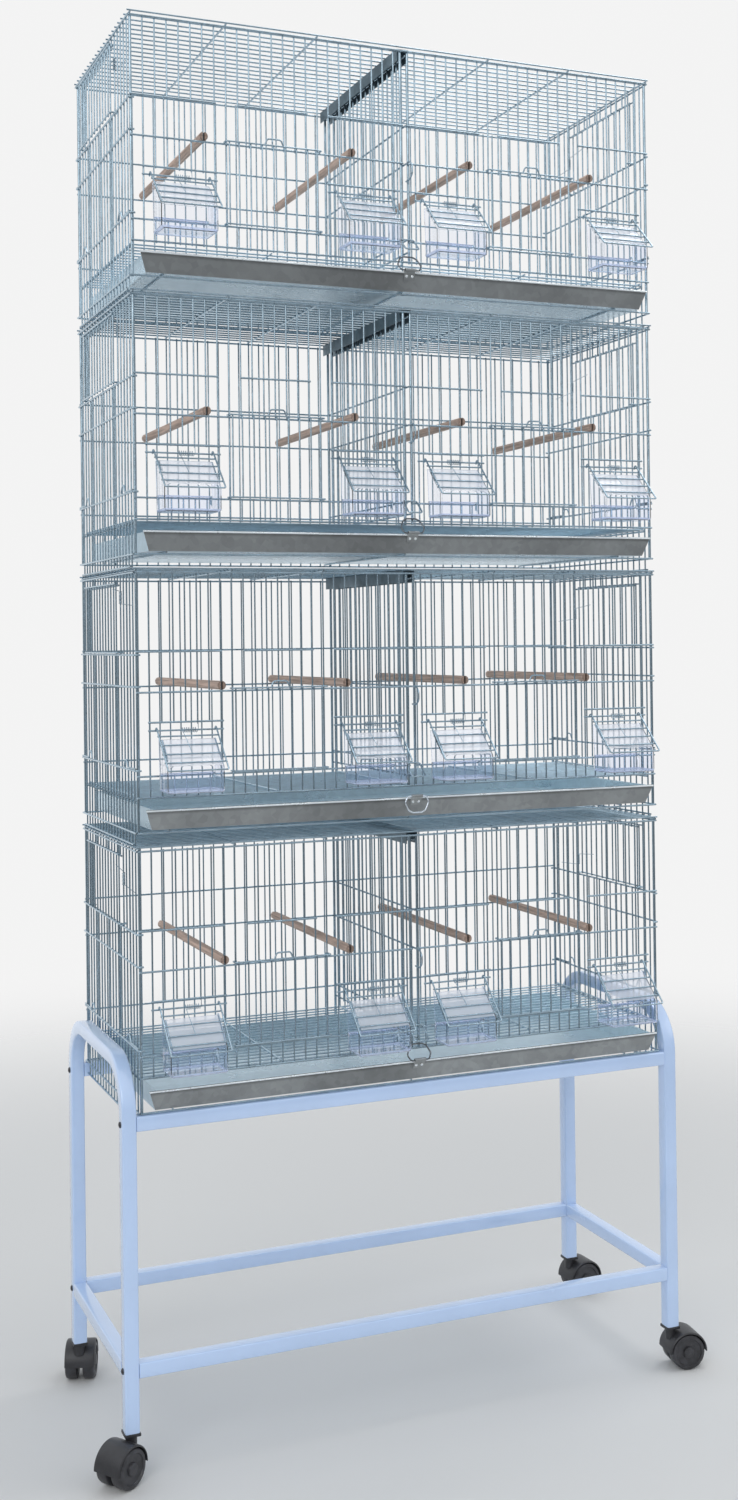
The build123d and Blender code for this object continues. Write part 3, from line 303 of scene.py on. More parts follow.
class CageColours(PropertyGroup):
    """Colours of the finishes"""
    zinc: tint("Zinc wire", (0.41, 0.525, 0.605), "Galvanized wire")
    sheet: tint("Zinc sheet", (0.14, 0.195, 0.23), "Galvanized sheet of the channels")
    # Much brighter than the channels' sheet: painted light for the pans' reflections and for the light under
    # the grates.
    pan: tint("Tray pan", (0.69, 0.82, 0.89), "Bright sheet of the trays' pans")
    lip: tint("Tray lip", (0.315, 0.332, 0.338), "Galvanized sheet of the flared lips and their brackets")
    # Kept dark as a painted dark reflection on the plated wire; the hanging ring gets a painted highlight
    # instead.
    ring: tint("Pull ring", (0.17, 0.185, 0.2), "Plated wire of the pull rings")
    powder: tint("Powder coat", (0.54, 0.70, 0.98), "White coat of the stand")
    screw: tint("Screw", (0.09, 0.09, 0.1), "Blackened screws")
    black: tint("Black nylon", (0.022, 0.022, 0.025), "Moulded casters and plugs")
    wood: tint("Perch wood", (0.60, 0.43, 0.345), "Turned perches")
    clear: tint("Clear plastic", (0.93, 0.95, 1.0), "Clear cups")
    clear_edge: tint("Cup edge", (0.74, 0.81, 0.98), "Cut edges of the clear cups")
    floor: tint("Floor", (0.74, 0.74, 0.73), "Studio floor")


def tier_base(tier):
    """Height of the middle of a cage's bottom rail, from where its tray lies in the frame."""
    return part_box(f"tray_{tier}")[0].z - TRAY_LIFT


def links(s):
    """Lines and planes that the wires of one cage lie on, in metres."""
    place = SimpleNamespace()
    place.half = s.half_spaces * s.pitch
    place.front = -s.depth_spaces * s.pitch / 2
    place.rear = -place.front
    place.side = place.half + s.post / 2
    place.rail_line = place.front - HAIR
    place.rear_rail = place.rear + HAIR + s.rail / 2
    place.reach = place.rear + HAIR + s.rail
    place.side_out = place.side + HAIR + s.rail
    place.inner_rear = place.rear - s.post - RUN_GAP
    place.rail_half = s.rail * FLAT_SHARE
    place.bar_half = s.bar * FLAT_SHARE
    place.top_rail = s.wall - place.rail_half
    place.roof = s.wall + HAIR + s.rail
    place.tray_front = place.rail_line - s.rail - RUN_GAP
    place.tray_bottom = place.rail_half + HAIR + s.bar + SLIDE_GAP
    place.grate = s.ledge + place.rail_half + HAIR + s.bar
    place.hinge_y = place.rail_line - s.rail / 3
    place.hinge_half = s.rail * 2 / 3
    place.flap_flat = place.hinge_half + RUN_GAP
    place.feeders = ((1, 7), (17, 23))
    place.guides = (8, 16)
    place.feeder_inner = [c for first, last in place.feeders for c in range(first + 1, last)]
    place.door_inner = range(place.guides[0] + 1, place.guides[1])
    place.nest_first = 3
    place.nest_last = 14
    place.feeder_middles = sorted(
        half * (place.half - (first + last) / 2 * s.pitch) for first, last in place.feeders for half in HALVES
    )
    place.column = lambda column, half: half * (place.half - column * s.pitch)
    place.row = lambda row: place.front + row * s.pitch
    place.row_ends = (place.row(1) - s.bar, place.row(s.depth_spaces - 1) + s.bar)
    return place


def stand_lines(s, st):
    """Lines of the stand: its legs in the order of the corners, and the middle of its upper rails."""
    place = links(s)
    lines = SimpleNamespace()
    lines.x = place.side_out + FRAME_GAP + st.tube / 2
    lines.y = st.leg_spread / 2
    lines.upper = tier_base(TIERS[-1]) - place.rail_half - HAIR - st.tube / 2
    lines.legs = [(x, y) for y in (-lines.y, lines.y) for x in (-lines.x, lines.x)]
    return lines


# Node trees


def feed(node, inputs):
    """Sets inputs of a node; an input that is given another node's output is linked to it."""
    for label, value in inputs.items():
        if isinstance(value, NodeSocket):
            node.id_data.links.new(value, node.inputs[label])
        else:
            node.inputs[label].default_value = value
    return node


def add_node(tree, kind, inputs, **settings):
    """A node with its settings and inputs."""
    node = tree.nodes.new(kind)
    for label, value in settings.items():
        setattr(node, label, value)
    return feed(node, inputs)


def new_group(name, kind, inputs, outputs):
    """An empty node group with named sockets, some of them with a default."""
    tree = bpy.data.node_groups.new(name, kind)
    for label, socket, *default in inputs:
        made = tree.interface.new_socket(label, in_out="INPUT", socket_type="NodeSocket" + socket)
        if default:
            made.default_value = default[0]
    for label, socket in outputs:
        tree.interface.new_socket(label, in_out="OUTPUT", socket_type="NodeSocket" + socket)
    return tree


def computed(tree, operation, first, second, **settings):
    """Output of a Math node."""
    inputs = {0: first, 1: second}
    return add_node(tree, "ShaderNodeMath", inputs, operation=operation, **settings).outputs["Value"]


def ranged(tree, value, low, high, start=0.0, end=1.0, **settings):
    """Output of a Map Range node that takes start to low and end to high."""
    inputs = {"Value": value, "From Min": start, "From Max": end, "To Min": low, "To Max": high}
    return add_node(tree, "ShaderNodeMapRange", inputs, **settings).outputs["Result"]


def mixed(tree, factor, first, second, **settings):
    """Output of a Mix node for colours."""
    inputs = {"Factor": factor, "A": first, "B": second}
    return add_node(tree, "ShaderNodeMix", inputs, data_type="RGBA", **settings).outputs["Result"]


def noise(tree, inputs, **settings):
    """Output of a noise texture."""
    return add_node(tree, "ShaderNodeTexNoise", inputs, **settings).outputs["Fac"]


def coordinates(tree, kind="Object"):
    """Output of a Texture Coordinate node."""
    return tree.nodes.new("ShaderNodeTexCoord").outputs[kind]


# Wires


class WireRuns:
    """Centre lines of wires, each with its thickness and the radius of its bends."""

    def __init__(self):
        self.points = []
        self.edges = []
        self.radii = []
        self.bends = []

    def add(self, path, thickness, bend=0.0, closed=False):
        first = len(self.points)
        self.points += [tuple(point) for point in path]
        self.edges += [(first + n, first + n + 1) for n in range(len(path) - 1)]
        if closed:
            self.edges.append((first + len(path) - 1, first))
        self.radii += [thickness / 2] * len(path)
        self.bends += [bend] * len(path)

    def mirrored(self, path, thickness, bend=0.0):
        """The same wire on both sides of the middle plane."""
        self.add(path, thickness, bend)
        self.add([(-x, y, z) for x, y, z in path], thickness, bend)

    def turned(self, path, thickness, bend=0.0):
        """The same wire on both sides, the left one turned half round."""
        self.add(path, thickness, bend)
        self.add([(-x, -y, z) for x, y, z in path], thickness, bend)

    def mesh(self, name):
        mesh = bpy.data.meshes.new(name)
        mesh.from_pydata(self.points, self.edges, [])
        for label, values in (("wire_radius", self.radii), ("wire_bend", self.bends)):
            mesh.attributes.new(label, "FLOAT", "POINT").data.foreach_set("value", values)
        return mesh


def along_x(start, end, y, z):
    return [(start, y, z), (end, y, z)]


def along_y(x, start, end, z):
    return [(x, start, z), (x, end, z)]


def along_z(x, y, start, end):
    return [(x, y, start), (x, y, end)]


def arc(radius, start, end, steps):
    """Points of an arc about the origin, between two angles in degrees."""
    angles = [math.radians(start + (end - start) * n / steps) for n in range(steps + 1)]
    return [(radius * math.cos(angle), radius * math.sin(angle)) for angle in angles]


def wire_tree():
    """Geometry Nodes that turn centre lines into round wires, with filleted bends and stacked copies."""
    tree = bpy.data.node_groups.get("Round wires")
    if tree:
        return tree
    tree = new_group(
        "Round wires", "GeometryNodeTree",
        (
            ("Lines", "Geometry"), ("Sides", "Int", WIRE_SIDES), ("Bend Steps", "Int", 5),
            ("Copies", "Int", 1), ("Copy Start", "Vector"), ("Copy Step", "Vector"), ("Finish", "Material"),
        ),
        (("Wires", "Geometry"),),
    )

    def named(label):
        reader = add_node(tree, "GeometryNodeInputNamedAttribute", {"Name": label}, data_type="FLOAT")
        return reader.outputs["Attribute"]

    source = tree.nodes.new("NodeGroupInput").outputs
    curve = add_node(tree, "GeometryNodeMeshToCurve", {"Mesh": source["Lines"]})
    fillet = add_node(tree, "GeometryNodeFilletCurve", {
        "Curve": curve.outputs["Curve"], "Count": source["Bend Steps"], "Radius": named("wire_bend"),
        "Limit Radius": True,
    }, mode="POLY")
    circle = add_node(tree, "GeometryNodeCurvePrimitiveCircle", {
        "Resolution": source["Sides"], "Radius": 1.0,
    })
    tube = add_node(tree, "GeometryNodeCurveToMesh", {
        "Curve": fillet.outputs["Curve"], "Profile Curve": circle.outputs["Curve"],
        "Scale": named("wire_radius"), "Fill Caps": True,
    })
    angle = tree.nodes.new("GeometryNodeInputMeshEdgeAngle").outputs["Unsigned Angle"]
    sharp = add_node(tree, "FunctionNodeCompare", {"A": angle, "B": WIRE_END_ANGLE}, operation="GREATER_THAN")
    smooth = add_node(tree, "GeometryNodeSetShadeSmooth", {"Geometry": tube.outputs["Mesh"]})
    edges = add_node(tree, "GeometryNodeSetShadeSmooth", {
        "Geometry": smooth.outputs["Geometry"], "Selection": sharp.outputs["Result"], "Shade Smooth": False,
    }, domain="EDGE")
    line = add_node(tree, "GeometryNodeMeshLine", {
        "Count": source["Copies"], "Start Location": source["Copy Start"], "Offset": source["Copy Step"],
    })
    stack = add_node(tree, "GeometryNodeInstanceOnPoints", {
        "Points": line.outputs["Mesh"], "Instance": edges.outputs["Geometry"],
    })
    realize = add_node(tree, "GeometryNodeRealizeInstances", {"Geometry": stack.outputs["Instances"]})
    coated = add_node(tree, "GeometryNodeSetMaterial", {
        "Geometry": realize.outputs["Geometry"], "Material": source["Finish"],
    })
    feed(tree.nodes.new("NodeGroupOutput"), {"Wires": coated.outputs["Geometry"]})
    return tree


def set_inputs(modifier, values):
    """Sets a Geometry Nodes modifier's inputs by the identifiers of their sockets."""
    for item in modifier.node_group.interface.items_tree:
        if item.item_type == "SOCKET" and item.in_out == "INPUT" and item.name in values:
            modifier[item.identifier] = values[item.name]


def wire_piece(name, runs, coat, copies=1, start=(0, 0, 0), step=(0, 0, 0), sides=WIRE_SIDES):
    """A plain mesh of round wires, stacked where a piece repeats from tier to tier."""
    piece = linked(name, runs.mesh(name))
    modifier = piece.modifiers.new("Round wires", "NODES")
    modifier.node_group = wire_tree()
    set_inputs(modifier, {
        "Sides": sides, "Copies": copies, "Copy Start": start, "Copy Step": step, "Finish": finish(coat),
    })
    return plain(piece)


def tier_stack():
    """Copies, lowest place and step for what every cage has."""
    low = tier_base(TIERS[-1])
    rise = (tier_base(TIERS[0]) - low) / (len(TIERS) - 1)
    return {"copies": len(TIERS), "start": (0, 0, low), "step": (0, 0, rise)}


# Pieces


def plain(piece):
    """Turns a piece with modifiers into a plain mesh."""
    bpy.context.view_layer.update()
    graph = bpy.context.evaluated_depsgraph_get()
    mesh = bpy.data.meshes.new_from_object(piece.evaluated_get(graph))
    piece.modifiers.clear()
    old = piece.data
    piece.data = mesh
    mesh.name = piece.name
    bpy.data.meshes.remove(old)
    return piece


def modified(piece, kind, **settings):
    """A piece as a plain mesh, with one modifier applied."""
    modifier = piece.modifiers.new(kind.title(), kind)
    for label, value in settings.items():
        setattr(modifier, label, value)
    return plain(piece)


def linked(name, data):
    """An object for a mesh, a lamp or a camera, in the scene."""
    piece = bpy.data.objects.new(name, data)
    bpy.context.scene.collection.objects.link(piece)
    return piece


def settle(piece, body, slot, *nodes):
    """Rides a finished piece on its body and hides the CAD nodes that it stands for."""
    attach(piece, body)
    if nodes:
        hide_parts(*nodes)
    return piece


def copy_at(piece, name, offset, turn=Matrix.Identity(4)):
    """A copy of a plain mesh piece, turned and moved in its mesh."""
    mesh = piece.data.copy()
    mesh.name = name
    mesh.transform(Matrix.Translation(offset) @ turn)
    return linked(name, mesh)


def drop(piece):
    """Removes a pattern piece once its copies are placed."""
    mesh = piece.data
    bpy.data.objects.remove(piece)
    bpy.data.meshes.remove(mesh)


def from_bmesh(name, work, *coats, smooth=True):
    """A piece from a bmesh, with its normals turned outwards."""
    bmesh.ops.remove_doubles(work, verts=work.verts, dist=1e-6)
    bmesh.ops.recalc_face_normals(work, faces=work.faces)
    mesh = bpy.data.meshes.new(name)
    work.to_mesh(mesh)
    work.free()
    for coat in coats:
        mesh.materials.append(finish(coat))
    if smooth:
        mesh.shade_smooth()
        mesh.set_sharp_from_angle(angle=SMOOTH_ANGLE)
    return linked(name, mesh)


def joined(name, pieces):
    """Several pieces as one plain mesh that keeps their finishes."""
    work = bmesh.new()
    coats = []
    for piece in pieces:
        first = len(work.faces)
        work.from_mesh(piece.data)
        work.faces.ensure_lookup_table()
        slots = []
        for coat in piece.data.materials:
            if coat not in coats:
                coats.append(coat)
            slots.append(coats.index(coat))
        for face in work.faces[first:]:
            face.material_index = slots[face.material_index]
    mesh = bpy.data.meshes.new(name)
    work.to_mesh(mesh)
    work.free()
    for coat in coats:
        mesh.materials.append(coat)
    for piece in pieces:
        drop(piece)
    return linked(name, mesh)


def lathe(work, profile, segments, turn=Matrix.Identity(4)):
    """Turns a closed profile of radius and height pairs about an axis into a bmesh."""
    rings = []
    for n in range(segments):
        angle = 2 * math.pi * n / segments
        ring = []
        for radius, height in profile:
            spot = Vector((radius * math.cos(angle), radius * math.sin(angle), height))
            ring.append(work.verts.new(turn @ spot))
        rings.append(ring)
    for n in range(segments):
        here = rings[n]
        there = rings[(n + 1) % segments]
        for k in range(len(profile)):
            after = (k + 1) % len(profile)
            corners = [here[k], there[k], there[after], here[after]]
            spots = []
            for corner in corners:
                if all((corner.co - other.co).length > 1e-7 for other in spots):
                    spots.append(corner)
            if len(spots) > 2:
                work.faces.new(spots)


def bridge(work, rings, open_strips=()):
    """Faces over the first and the last ring of points and between all rings, but for the open strips."""
    for ring in (rings[0], rings[-1]):
        work.faces.new(ring)
    count = len(rings[0])
    for here, there in zip(rings, rings[1:]):
        for k in range(count):
            if k not in open_strips:
                after = (k + 1) % count
                work.faces.new((here[k], here[after], there[after], there[k]))


def rounded_square(width, corner, steps=3):
    """Outline of a square tube with rounded corners."""
    points = []
    inner = width / 2 - corner
    for quarter, (x, y) in enumerate(((1, 1), (-1, 1), (-1, -1), (1, -1))):
        for across, up in arc(corner, 90 * quarter, 90 * quarter + 90, steps):
            points.append((x * inner + across, y * inner + up))
    return points


def sweep(work, path, across, outline):
    """Sweeps an outline along a path that lies in one plane; across is that plane's normal."""
    across = Vector(across)
    spots = [Vector(spot) for spot in path]
    rings = []
    for n, spot in enumerate(spots):
        before = spots[max(n - 1, 0)]
        after = spots[min(n + 1, len(spots) - 1)]
        inwards = (after - before).normalized().cross(across)
        rings.append([work.verts.new(spot + across * x + inwards * y) for x, y in outline])
    bridge(work, rings)


def slab(work, low, high):
    """A box between two corners."""
    size = Vector(high) - Vector(low)
    middle = (Vector(high) + Vector(low)) / 2
    bmesh.ops.create_cube(work, matrix=Matrix.Translation(middle) @ Matrix.Diagonal((*size, 1)))


def soften(work, edges, radius, segments=2):
    """Rounds edges of a bmesh."""
    bmesh.ops.bevel(work, geom=edges, offset=radius, segments=segments, profile=0.5, affect="EDGES")


def cut(piece, cutter, **settings):
    """Cuts one piece out of another, and drops it."""
    modified(piece, "BOOLEAN", operation="DIFFERENCE", solver="EXACT", object=cutter, **settings)
    drop(cutter)


# Finishes


def worn_surface():
    """Shared mottling: darker patches, uneven gloss and a fine grain, on object coordinates."""
    tree = bpy.data.node_groups.get("Worn surface")
    if tree:
        return tree
    tree = new_group(
        "Worn surface", "ShaderNodeTree",
        (("Colour", "Color"), ("Dulled Colour", "Color"), *((label, "Float") for label in MOTTLE)),
        (("Colour", "Color"), ("Roughness", "Float"), ("Grain", "Float")),
    )
    source = tree.nodes.new("NodeGroupInput").outputs
    place = coordinates(tree)
    patches = noise(tree, {"Vector": place, "Scale": source["Patch Scale"], "Detail": 5.0, "Roughness": 0.62})
    contrast = ranged(tree, patches, 0.0, 1.0, 0.38, 0.68)
    amount = computed(tree, "MULTIPLY", contrast, source["Patch Amount"])
    feed(tree.nodes.new("NodeGroupOutput"), {
        "Colour": mixed(tree, amount, source["Colour"], source["Dulled Colour"]),
        "Roughness": ranged(tree, patches, source["Gloss Low"], source["Gloss High"], 0.3, 0.7),
        "Grain": noise(tree, {"Vector": place, "Scale": source["Grain Scale"], "Detail": 2.0}),
    })
    return tree


def finish(name):
    return bpy.data.materials[FINISH_PREFIX + name]


def shader_of(material):
    return material.node_tree.nodes["Principled BSDF"]


def new_material(name):
    """The node tree and the shader of a new material."""
    material = bpy.data.materials.new(FINISH_PREFIX + name)
    material.use_nodes = True
    return material.node_tree, shader_of(material)


def shade(colour, share):
    """A darker or brighter colour."""
    return tuple(channel * share for channel in colour)


def new_finish(name, colour, dulled, metallic, bump, *mottle):
    """A finish on the shared mottling; bump is the depth of its grain in metres."""
    tree, shader = new_material(name)
    values = {"Colour": (*colour, 1), "Dulled Colour": (*dulled, 1), **dict(zip(MOTTLE, mottle))}
    surface = add_node(tree, "ShaderNodeGroup", values, node_tree=worn_surface()).outputs
    relief = add_node(tree, "ShaderNodeBump", {"Strength": 1.0, "Distance": bump, "Height": surface["Grain"]})
    feed(shader, {
        "Metallic": metallic, "Base Color": surface["Colour"], "Roughness": surface["Roughness"],
        "Normal": relief.outputs["Normal"],
    })


def shade_finish(material, level):
    """Multiplies the colour that a finish has so far by a level."""
    shader = shader_of(material)
    colour = shader.inputs["Base Color"].links[0].from_socket
    feed(shader, {"Base Color": mixed(material.node_tree, 1.0, colour, level, blend_type="MULTIPLY")})


def add_spangle(material, amount):
    """Crystals of hot-dipped zinc, mixed over the colour of a finish."""
    tree = material.node_tree
    cells = add_node(tree, "ShaderNodeTexVoronoi", {"Vector": coordinates(tree), "Scale": SPANGLE_SCALE})
    grey = add_node(tree, "ShaderNodeSeparateColor", {"Color": cells.outputs["Color"]})
    shade_finish(material, ranged(tree, grey.outputs["Red"], 1 - amount, 1 + amount))


def add_lip_painted_shade(material):
    """Painted shade under the hem of a lip and broad painted sheens along it, by the lip's own UV."""
    tree = material.node_tree
    place = add_node(tree, "ShaderNodeUVMap", {}, uv_map=LIP_UV)
    axes = add_node(tree, "ShaderNodeSeparateXYZ", {"Vector": place.outputs["UV"]}).outputs
    painted_hem_shade = ranged(tree, axes["Y"], 1.0, 0.5, 0.74, 0.9)
    sheen_noise = noise(tree, {"W": axes["X"], "Scale": 5.0}, noise_dimensions="1D")
    painted_sheen = ranged(tree, sheen_noise, 0.75, 1.25, 0.3, 0.7)
    shade_finish(material, computed(tree, "MULTIPLY", painted_hem_shade, painted_sheen))


def wood_finish(name, colour):
    """Plain dowel with grain along its length and darker pores."""
    tree, shader = new_material(name)
    place = coordinates(tree)
    along = add_node(tree, "ShaderNodeMapping", {"Vector": place, "Scale": (420, 14, 420)})
    grain = noise(tree, {"Vector": along.outputs["Vector"], "Scale": 1.0, "Detail": 4.0})
    ramp = add_node(tree, "ShaderNodeValToRGB", {"Fac": grain})
    for stop, position, share in zip(ramp.color_ramp.elements, (0.34, 0.66), (0.62, 1.25)):
        stop.position = position
        stop.color = (*shade(colour, share), 1)
    tone = ranged(tree, noise(tree, {"Vector": place, "Scale": 14.0}), 0.72, 1.22)
    relief = add_node(tree, "ShaderNodeBump", {"Distance": 0.00012, "Height": grain})
    feed(shader, {
        "Base Color": mixed(tree, 1.0, ramp.outputs["Color"], tone, blend_type="MULTIPLY"),
        "Roughness": 0.62, "Normal": relief.outputs["Normal"],
    })


def clear_finish(name, colour, roughness, transmission, cover):
    """Clear moulded plastic with faint flow marks; cover is the share of lamp light that it holds back.

    A ray that has gone through several walls passes the next ones straight, so that cups in line stay clear.
    """
    tree, shader = new_material(name)
    marks = noise(tree, {"Vector": coordinates(tree), "Scale": 60.0})
    rays = tree.nodes.new("ShaderNodeLightPath").outputs
    light = computed(tree, "MAXIMUM", rays["Is Shadow Ray"], rays["Is Diffuse Ray"])
    deep = computed(tree, "GREATER_THAN", rays["Transmission Depth"], WALLS_REFRACTED)
    feed(shader, {
        "Base Color": (*colour, 1), "Transmission Weight": transmission, "IOR": CLEAR_IOR, "Metallic": 0.0,
        "Roughness": ranged(tree, marks, roughness * 0.5, roughness * 1.6),
        "Alpha": ranged(tree, computed(tree, "MAXIMUM", light, deep), 1.0, cover),
    })


class CAGE_OT_finishes(Operator):
    """Make the finishes and put them on the CAD nodes that stay"""
    bl_idname = "cage.finishes"
    bl_label = "Finishes"

    def execute(self, context):
        colours = context.scene.cage_colours
        for name, (base, share, dulled, *values) in FINISHES.items():
            colour = getattr(colours, base)
            new_finish(name, shade(colour, share), shade(colour, dulled), *values)
        for name, amount in SPANGLES.items():
            add_spangle(finish(name), amount)
        # The lip gets a painted shade under its hem and painted sheens along it.
        add_lip_painted_shade(finish("zinc_lip"))
        feed(shader_of(finish("white_tube")), TUBE_COAT)
        wood_finish("perch_wood", colours.wood)
        wood_finish("perch_end", shade(colours.wood, PERCH_END_SHARE))
        for name, (base, *values) in CLEARS.items():
            clear_finish(name, getattr(colours, base), *values)
        for part in frame["record"]["subparts"]:
            node = frame["nodes"][part["node"]]
            node.data.materials.clear()
            node.data.materials.append(finish(part["material_slot"]))
        return {"FINISHED"}


# Operators for the pieces


class CAGE_OT_panels(Operator):
    """Front, rear, side and roof panels and floor grates of round wire"""
    bl_idname = "cage.panels"
    bl_label = "Wire panels"

    def execute(self, context):
        s = context.scene.cage_sizes
        place = links(s)
        self.front(s, place)
        self.rear(s, place)
        self.sides(s, place)
        self.roof(s, place)
        self.grate(s, place)
        return {"FINISHED"}

    def stacked(self, name, runs, node, look="zinc_wire"):
        settle(wire_piece(name, runs, look, **tier_stack()), ROOT, "zinc_wire", node)

    def front(self, s, place):
        runs = WireRuns()
        bar_y = place.front + s.bar / 2
        rail_y = place.rail_line - s.rail / 2
        post_y = place.front + s.post / 2
        low = s.sill - s.rail / 2
        runs.mirrored(along_z(place.half, post_y, -s.rail / 2, s.wall), s.post)
        runs.mirrored(along_z(s.slot / 2 + s.post / 2, post_y, low, s.wall), s.post)
        for column in range(1, s.half_spaces):
            x = place.column(column, 1)
            start = low
            if column in place.feeder_inner:
                start = s.opening - s.rail / 2
            if column in place.door_inner:
                start = s.middle - s.rail / 2
            runs.mirrored(along_z(x, bar_y, start, s.wall), s.bar)
            if start > low:
                runs.mirrored(along_z(x, bar_y, low, s.lower + s.rail / 2), s.bar)
        for level in (0, s.sill, place.top_rail):
            runs.add(along_x(-place.side, place.side, rail_y, level), s.rail)
        for level in (s.lower, s.middle):
            runs.mirrored(along_x(s.slot / 2, place.side, rail_y, level), s.rail)
        first, last = place.guides
        stops = (
            (place.side, place.column(first - 1, 1) - place.bar_half),
            (place.column(first + 1, 1) + place.bar_half, place.column(last - 1, 1) - place.bar_half),
            (place.column(last + 1, 1) + place.bar_half, s.slot / 2),
        )
        for left, right in stops:
            runs.mirrored(along_x(left, right, rail_y, s.upper), s.rail)
        for first, last in place.feeders:
            ends = (place.column(first, 1) + s.rail, place.column(last, 1) - s.rail)
            runs.mirrored(along_x(*ends, rail_y, s.opening), s.rail)
            runs.mirrored(along_x(*ends, place.hinge_y, s.hinge), s.rail * HINGE_SHARE)
        self.stacked("front_wires", runs, "front_panels")

    def rear(self, s, place):
        """Rear wall, with the runners that carry the tray."""
        runs = WireRuns()
        bar_y = place.rear - s.bar / 2
        post_y = place.rear - s.post / 2
        low = -s.rail / 2
        runs.mirrored(along_z(place.half, post_y, low, s.wall), s.post)
        runs.add(along_z(0, post_y, low, s.wall), s.post)
        for column in range(1, s.half_spaces):
            runs.mirrored(along_z(place.column(column, 1), bar_y, low, s.wall), s.bar)
        for level in (0, s.lower, s.middle, s.upper, place.top_rail):
            runs.add(along_x(-place.side, place.side, place.rear_rail, level), s.rail)
        step = (s.half_spaces - RUNNER_INSET) * s.pitch
        runner_z = place.rail_half + HAIR + s.bar / 2
        for n in (-1, 0, 1):
            runs.add(along_y(n * step - s.pitch / 2, -place.reach, place.reach, runner_z), s.bar)
        self.stacked("rear_wires", runs, "rear_panels")

    def sides(self, s, place):
        """Side walls, open behind the nest doors up to a header rail with short bars over it."""
        runs = WireRuns()
        bar_x = place.side - s.bar / 2
        rail_x = place.side + HAIR + s.rail / 2
        header = s.nest_top - s.bar - s.rail / 2
        for row in range(1, s.depth_spaces):
            spans = [(-s.foot, s.wall)]
            if place.nest_first < row < place.nest_last:
                spans = [(-s.foot, s.side_upper + s.rail / 2), (header - s.rail / 2, s.wall)]
            for span in spans:
                runs.turned(along_z(bar_x, place.row(row), *span), s.bar)
        guides = (place.row(place.nest_first), place.row(place.nest_last))
        runs.turned(along_y(rail_x, *guides, header), s.rail)
        for level in (0, place.top_rail):
            runs.turned(along_y(rail_x, place.front, place.rear, level), s.rail)
        wrap = place.rear_rail
        grip = rail_x - s.side_wrap
        wrapped = ((grip, -wrap), (rail_x, -wrap), (rail_x, wrap), (grip, wrap))
        for level in (s.side_lower, s.side_middle, s.side_upper):
            runs.turned([(x, y, level) for x, y in wrapped], s.rail, s.rail)
        self.latches(runs, s, place, rail_x)
        ledge_x = place.side - s.bar - HAIR - s.rail / 2
        runs.turned(along_y(rail_x, *place.row_ends, place.rail_half - s.foot), s.rail)
        runs.turned(along_y(ledge_x, *place.row_ends, s.ledge), s.rail)
        self.stacked("side_wires", runs, "side_panels")

    def latches(self, runs, s, place, rail_x):
        """Wires on the lower side rail that hook over a bar near each corner."""
        low = s.side_lower
        lying = low + s.rail / 2 + HAIR + s.bar / 2
        knee = -place.row(place.nest_first)
        hook = [(place.rear - LATCH_END, lying)]
        hook += [(knee + along, low + rise if rise else lying) for along, rise in LATCH_HOOK]
        for way in HALVES:
            runs.turned([(rail_x, way * y, z) for y, z in hook], s.bar, LATCH_BEND)

    def roof(self, s, place):
        runs = WireRuns()
        cross_z = place.roof - s.rail / 2
        long_z = place.roof + HAIR + s.bar / 2
        for x in (place.side - s.bar / 2, *(place.column(c, 1) for c in place.guides)):
            runs.mirrored(along_y(x, -place.reach, place.reach, cross_z), s.rail)
        for y in (-place.rear_rail, *(place.row(r) for r in range(1, s.depth_spaces)), place.rear_rail):
            runs.add(along_x(-place.side_out, place.side_out, y, long_z), s.bar)
        self.stacked("roof_wires", runs, "roof_panels")

    def grate(self, s, place):
        runs = WireRuns()
        end = place.side - s.bar - RUN_GAP
        for row in range(1, s.depth_spaces):
            runs.add(along_x(-end, end, place.row(row), place.grate - s.bar / 2), s.bar)
        for share in (-1, -0.5, 0, 0.5, 1):
            x = share * (end - s.rail)
            runs.add(along_y(x, *place.row_ends, place.grate + HAIR + s.bar / 2), s.bar)
        # The grate's wires take a brighter copy of the zinc: painted light in the shade of the tray.
        self.stacked("grate_wires", runs, "floor_grates", "grate_wire")


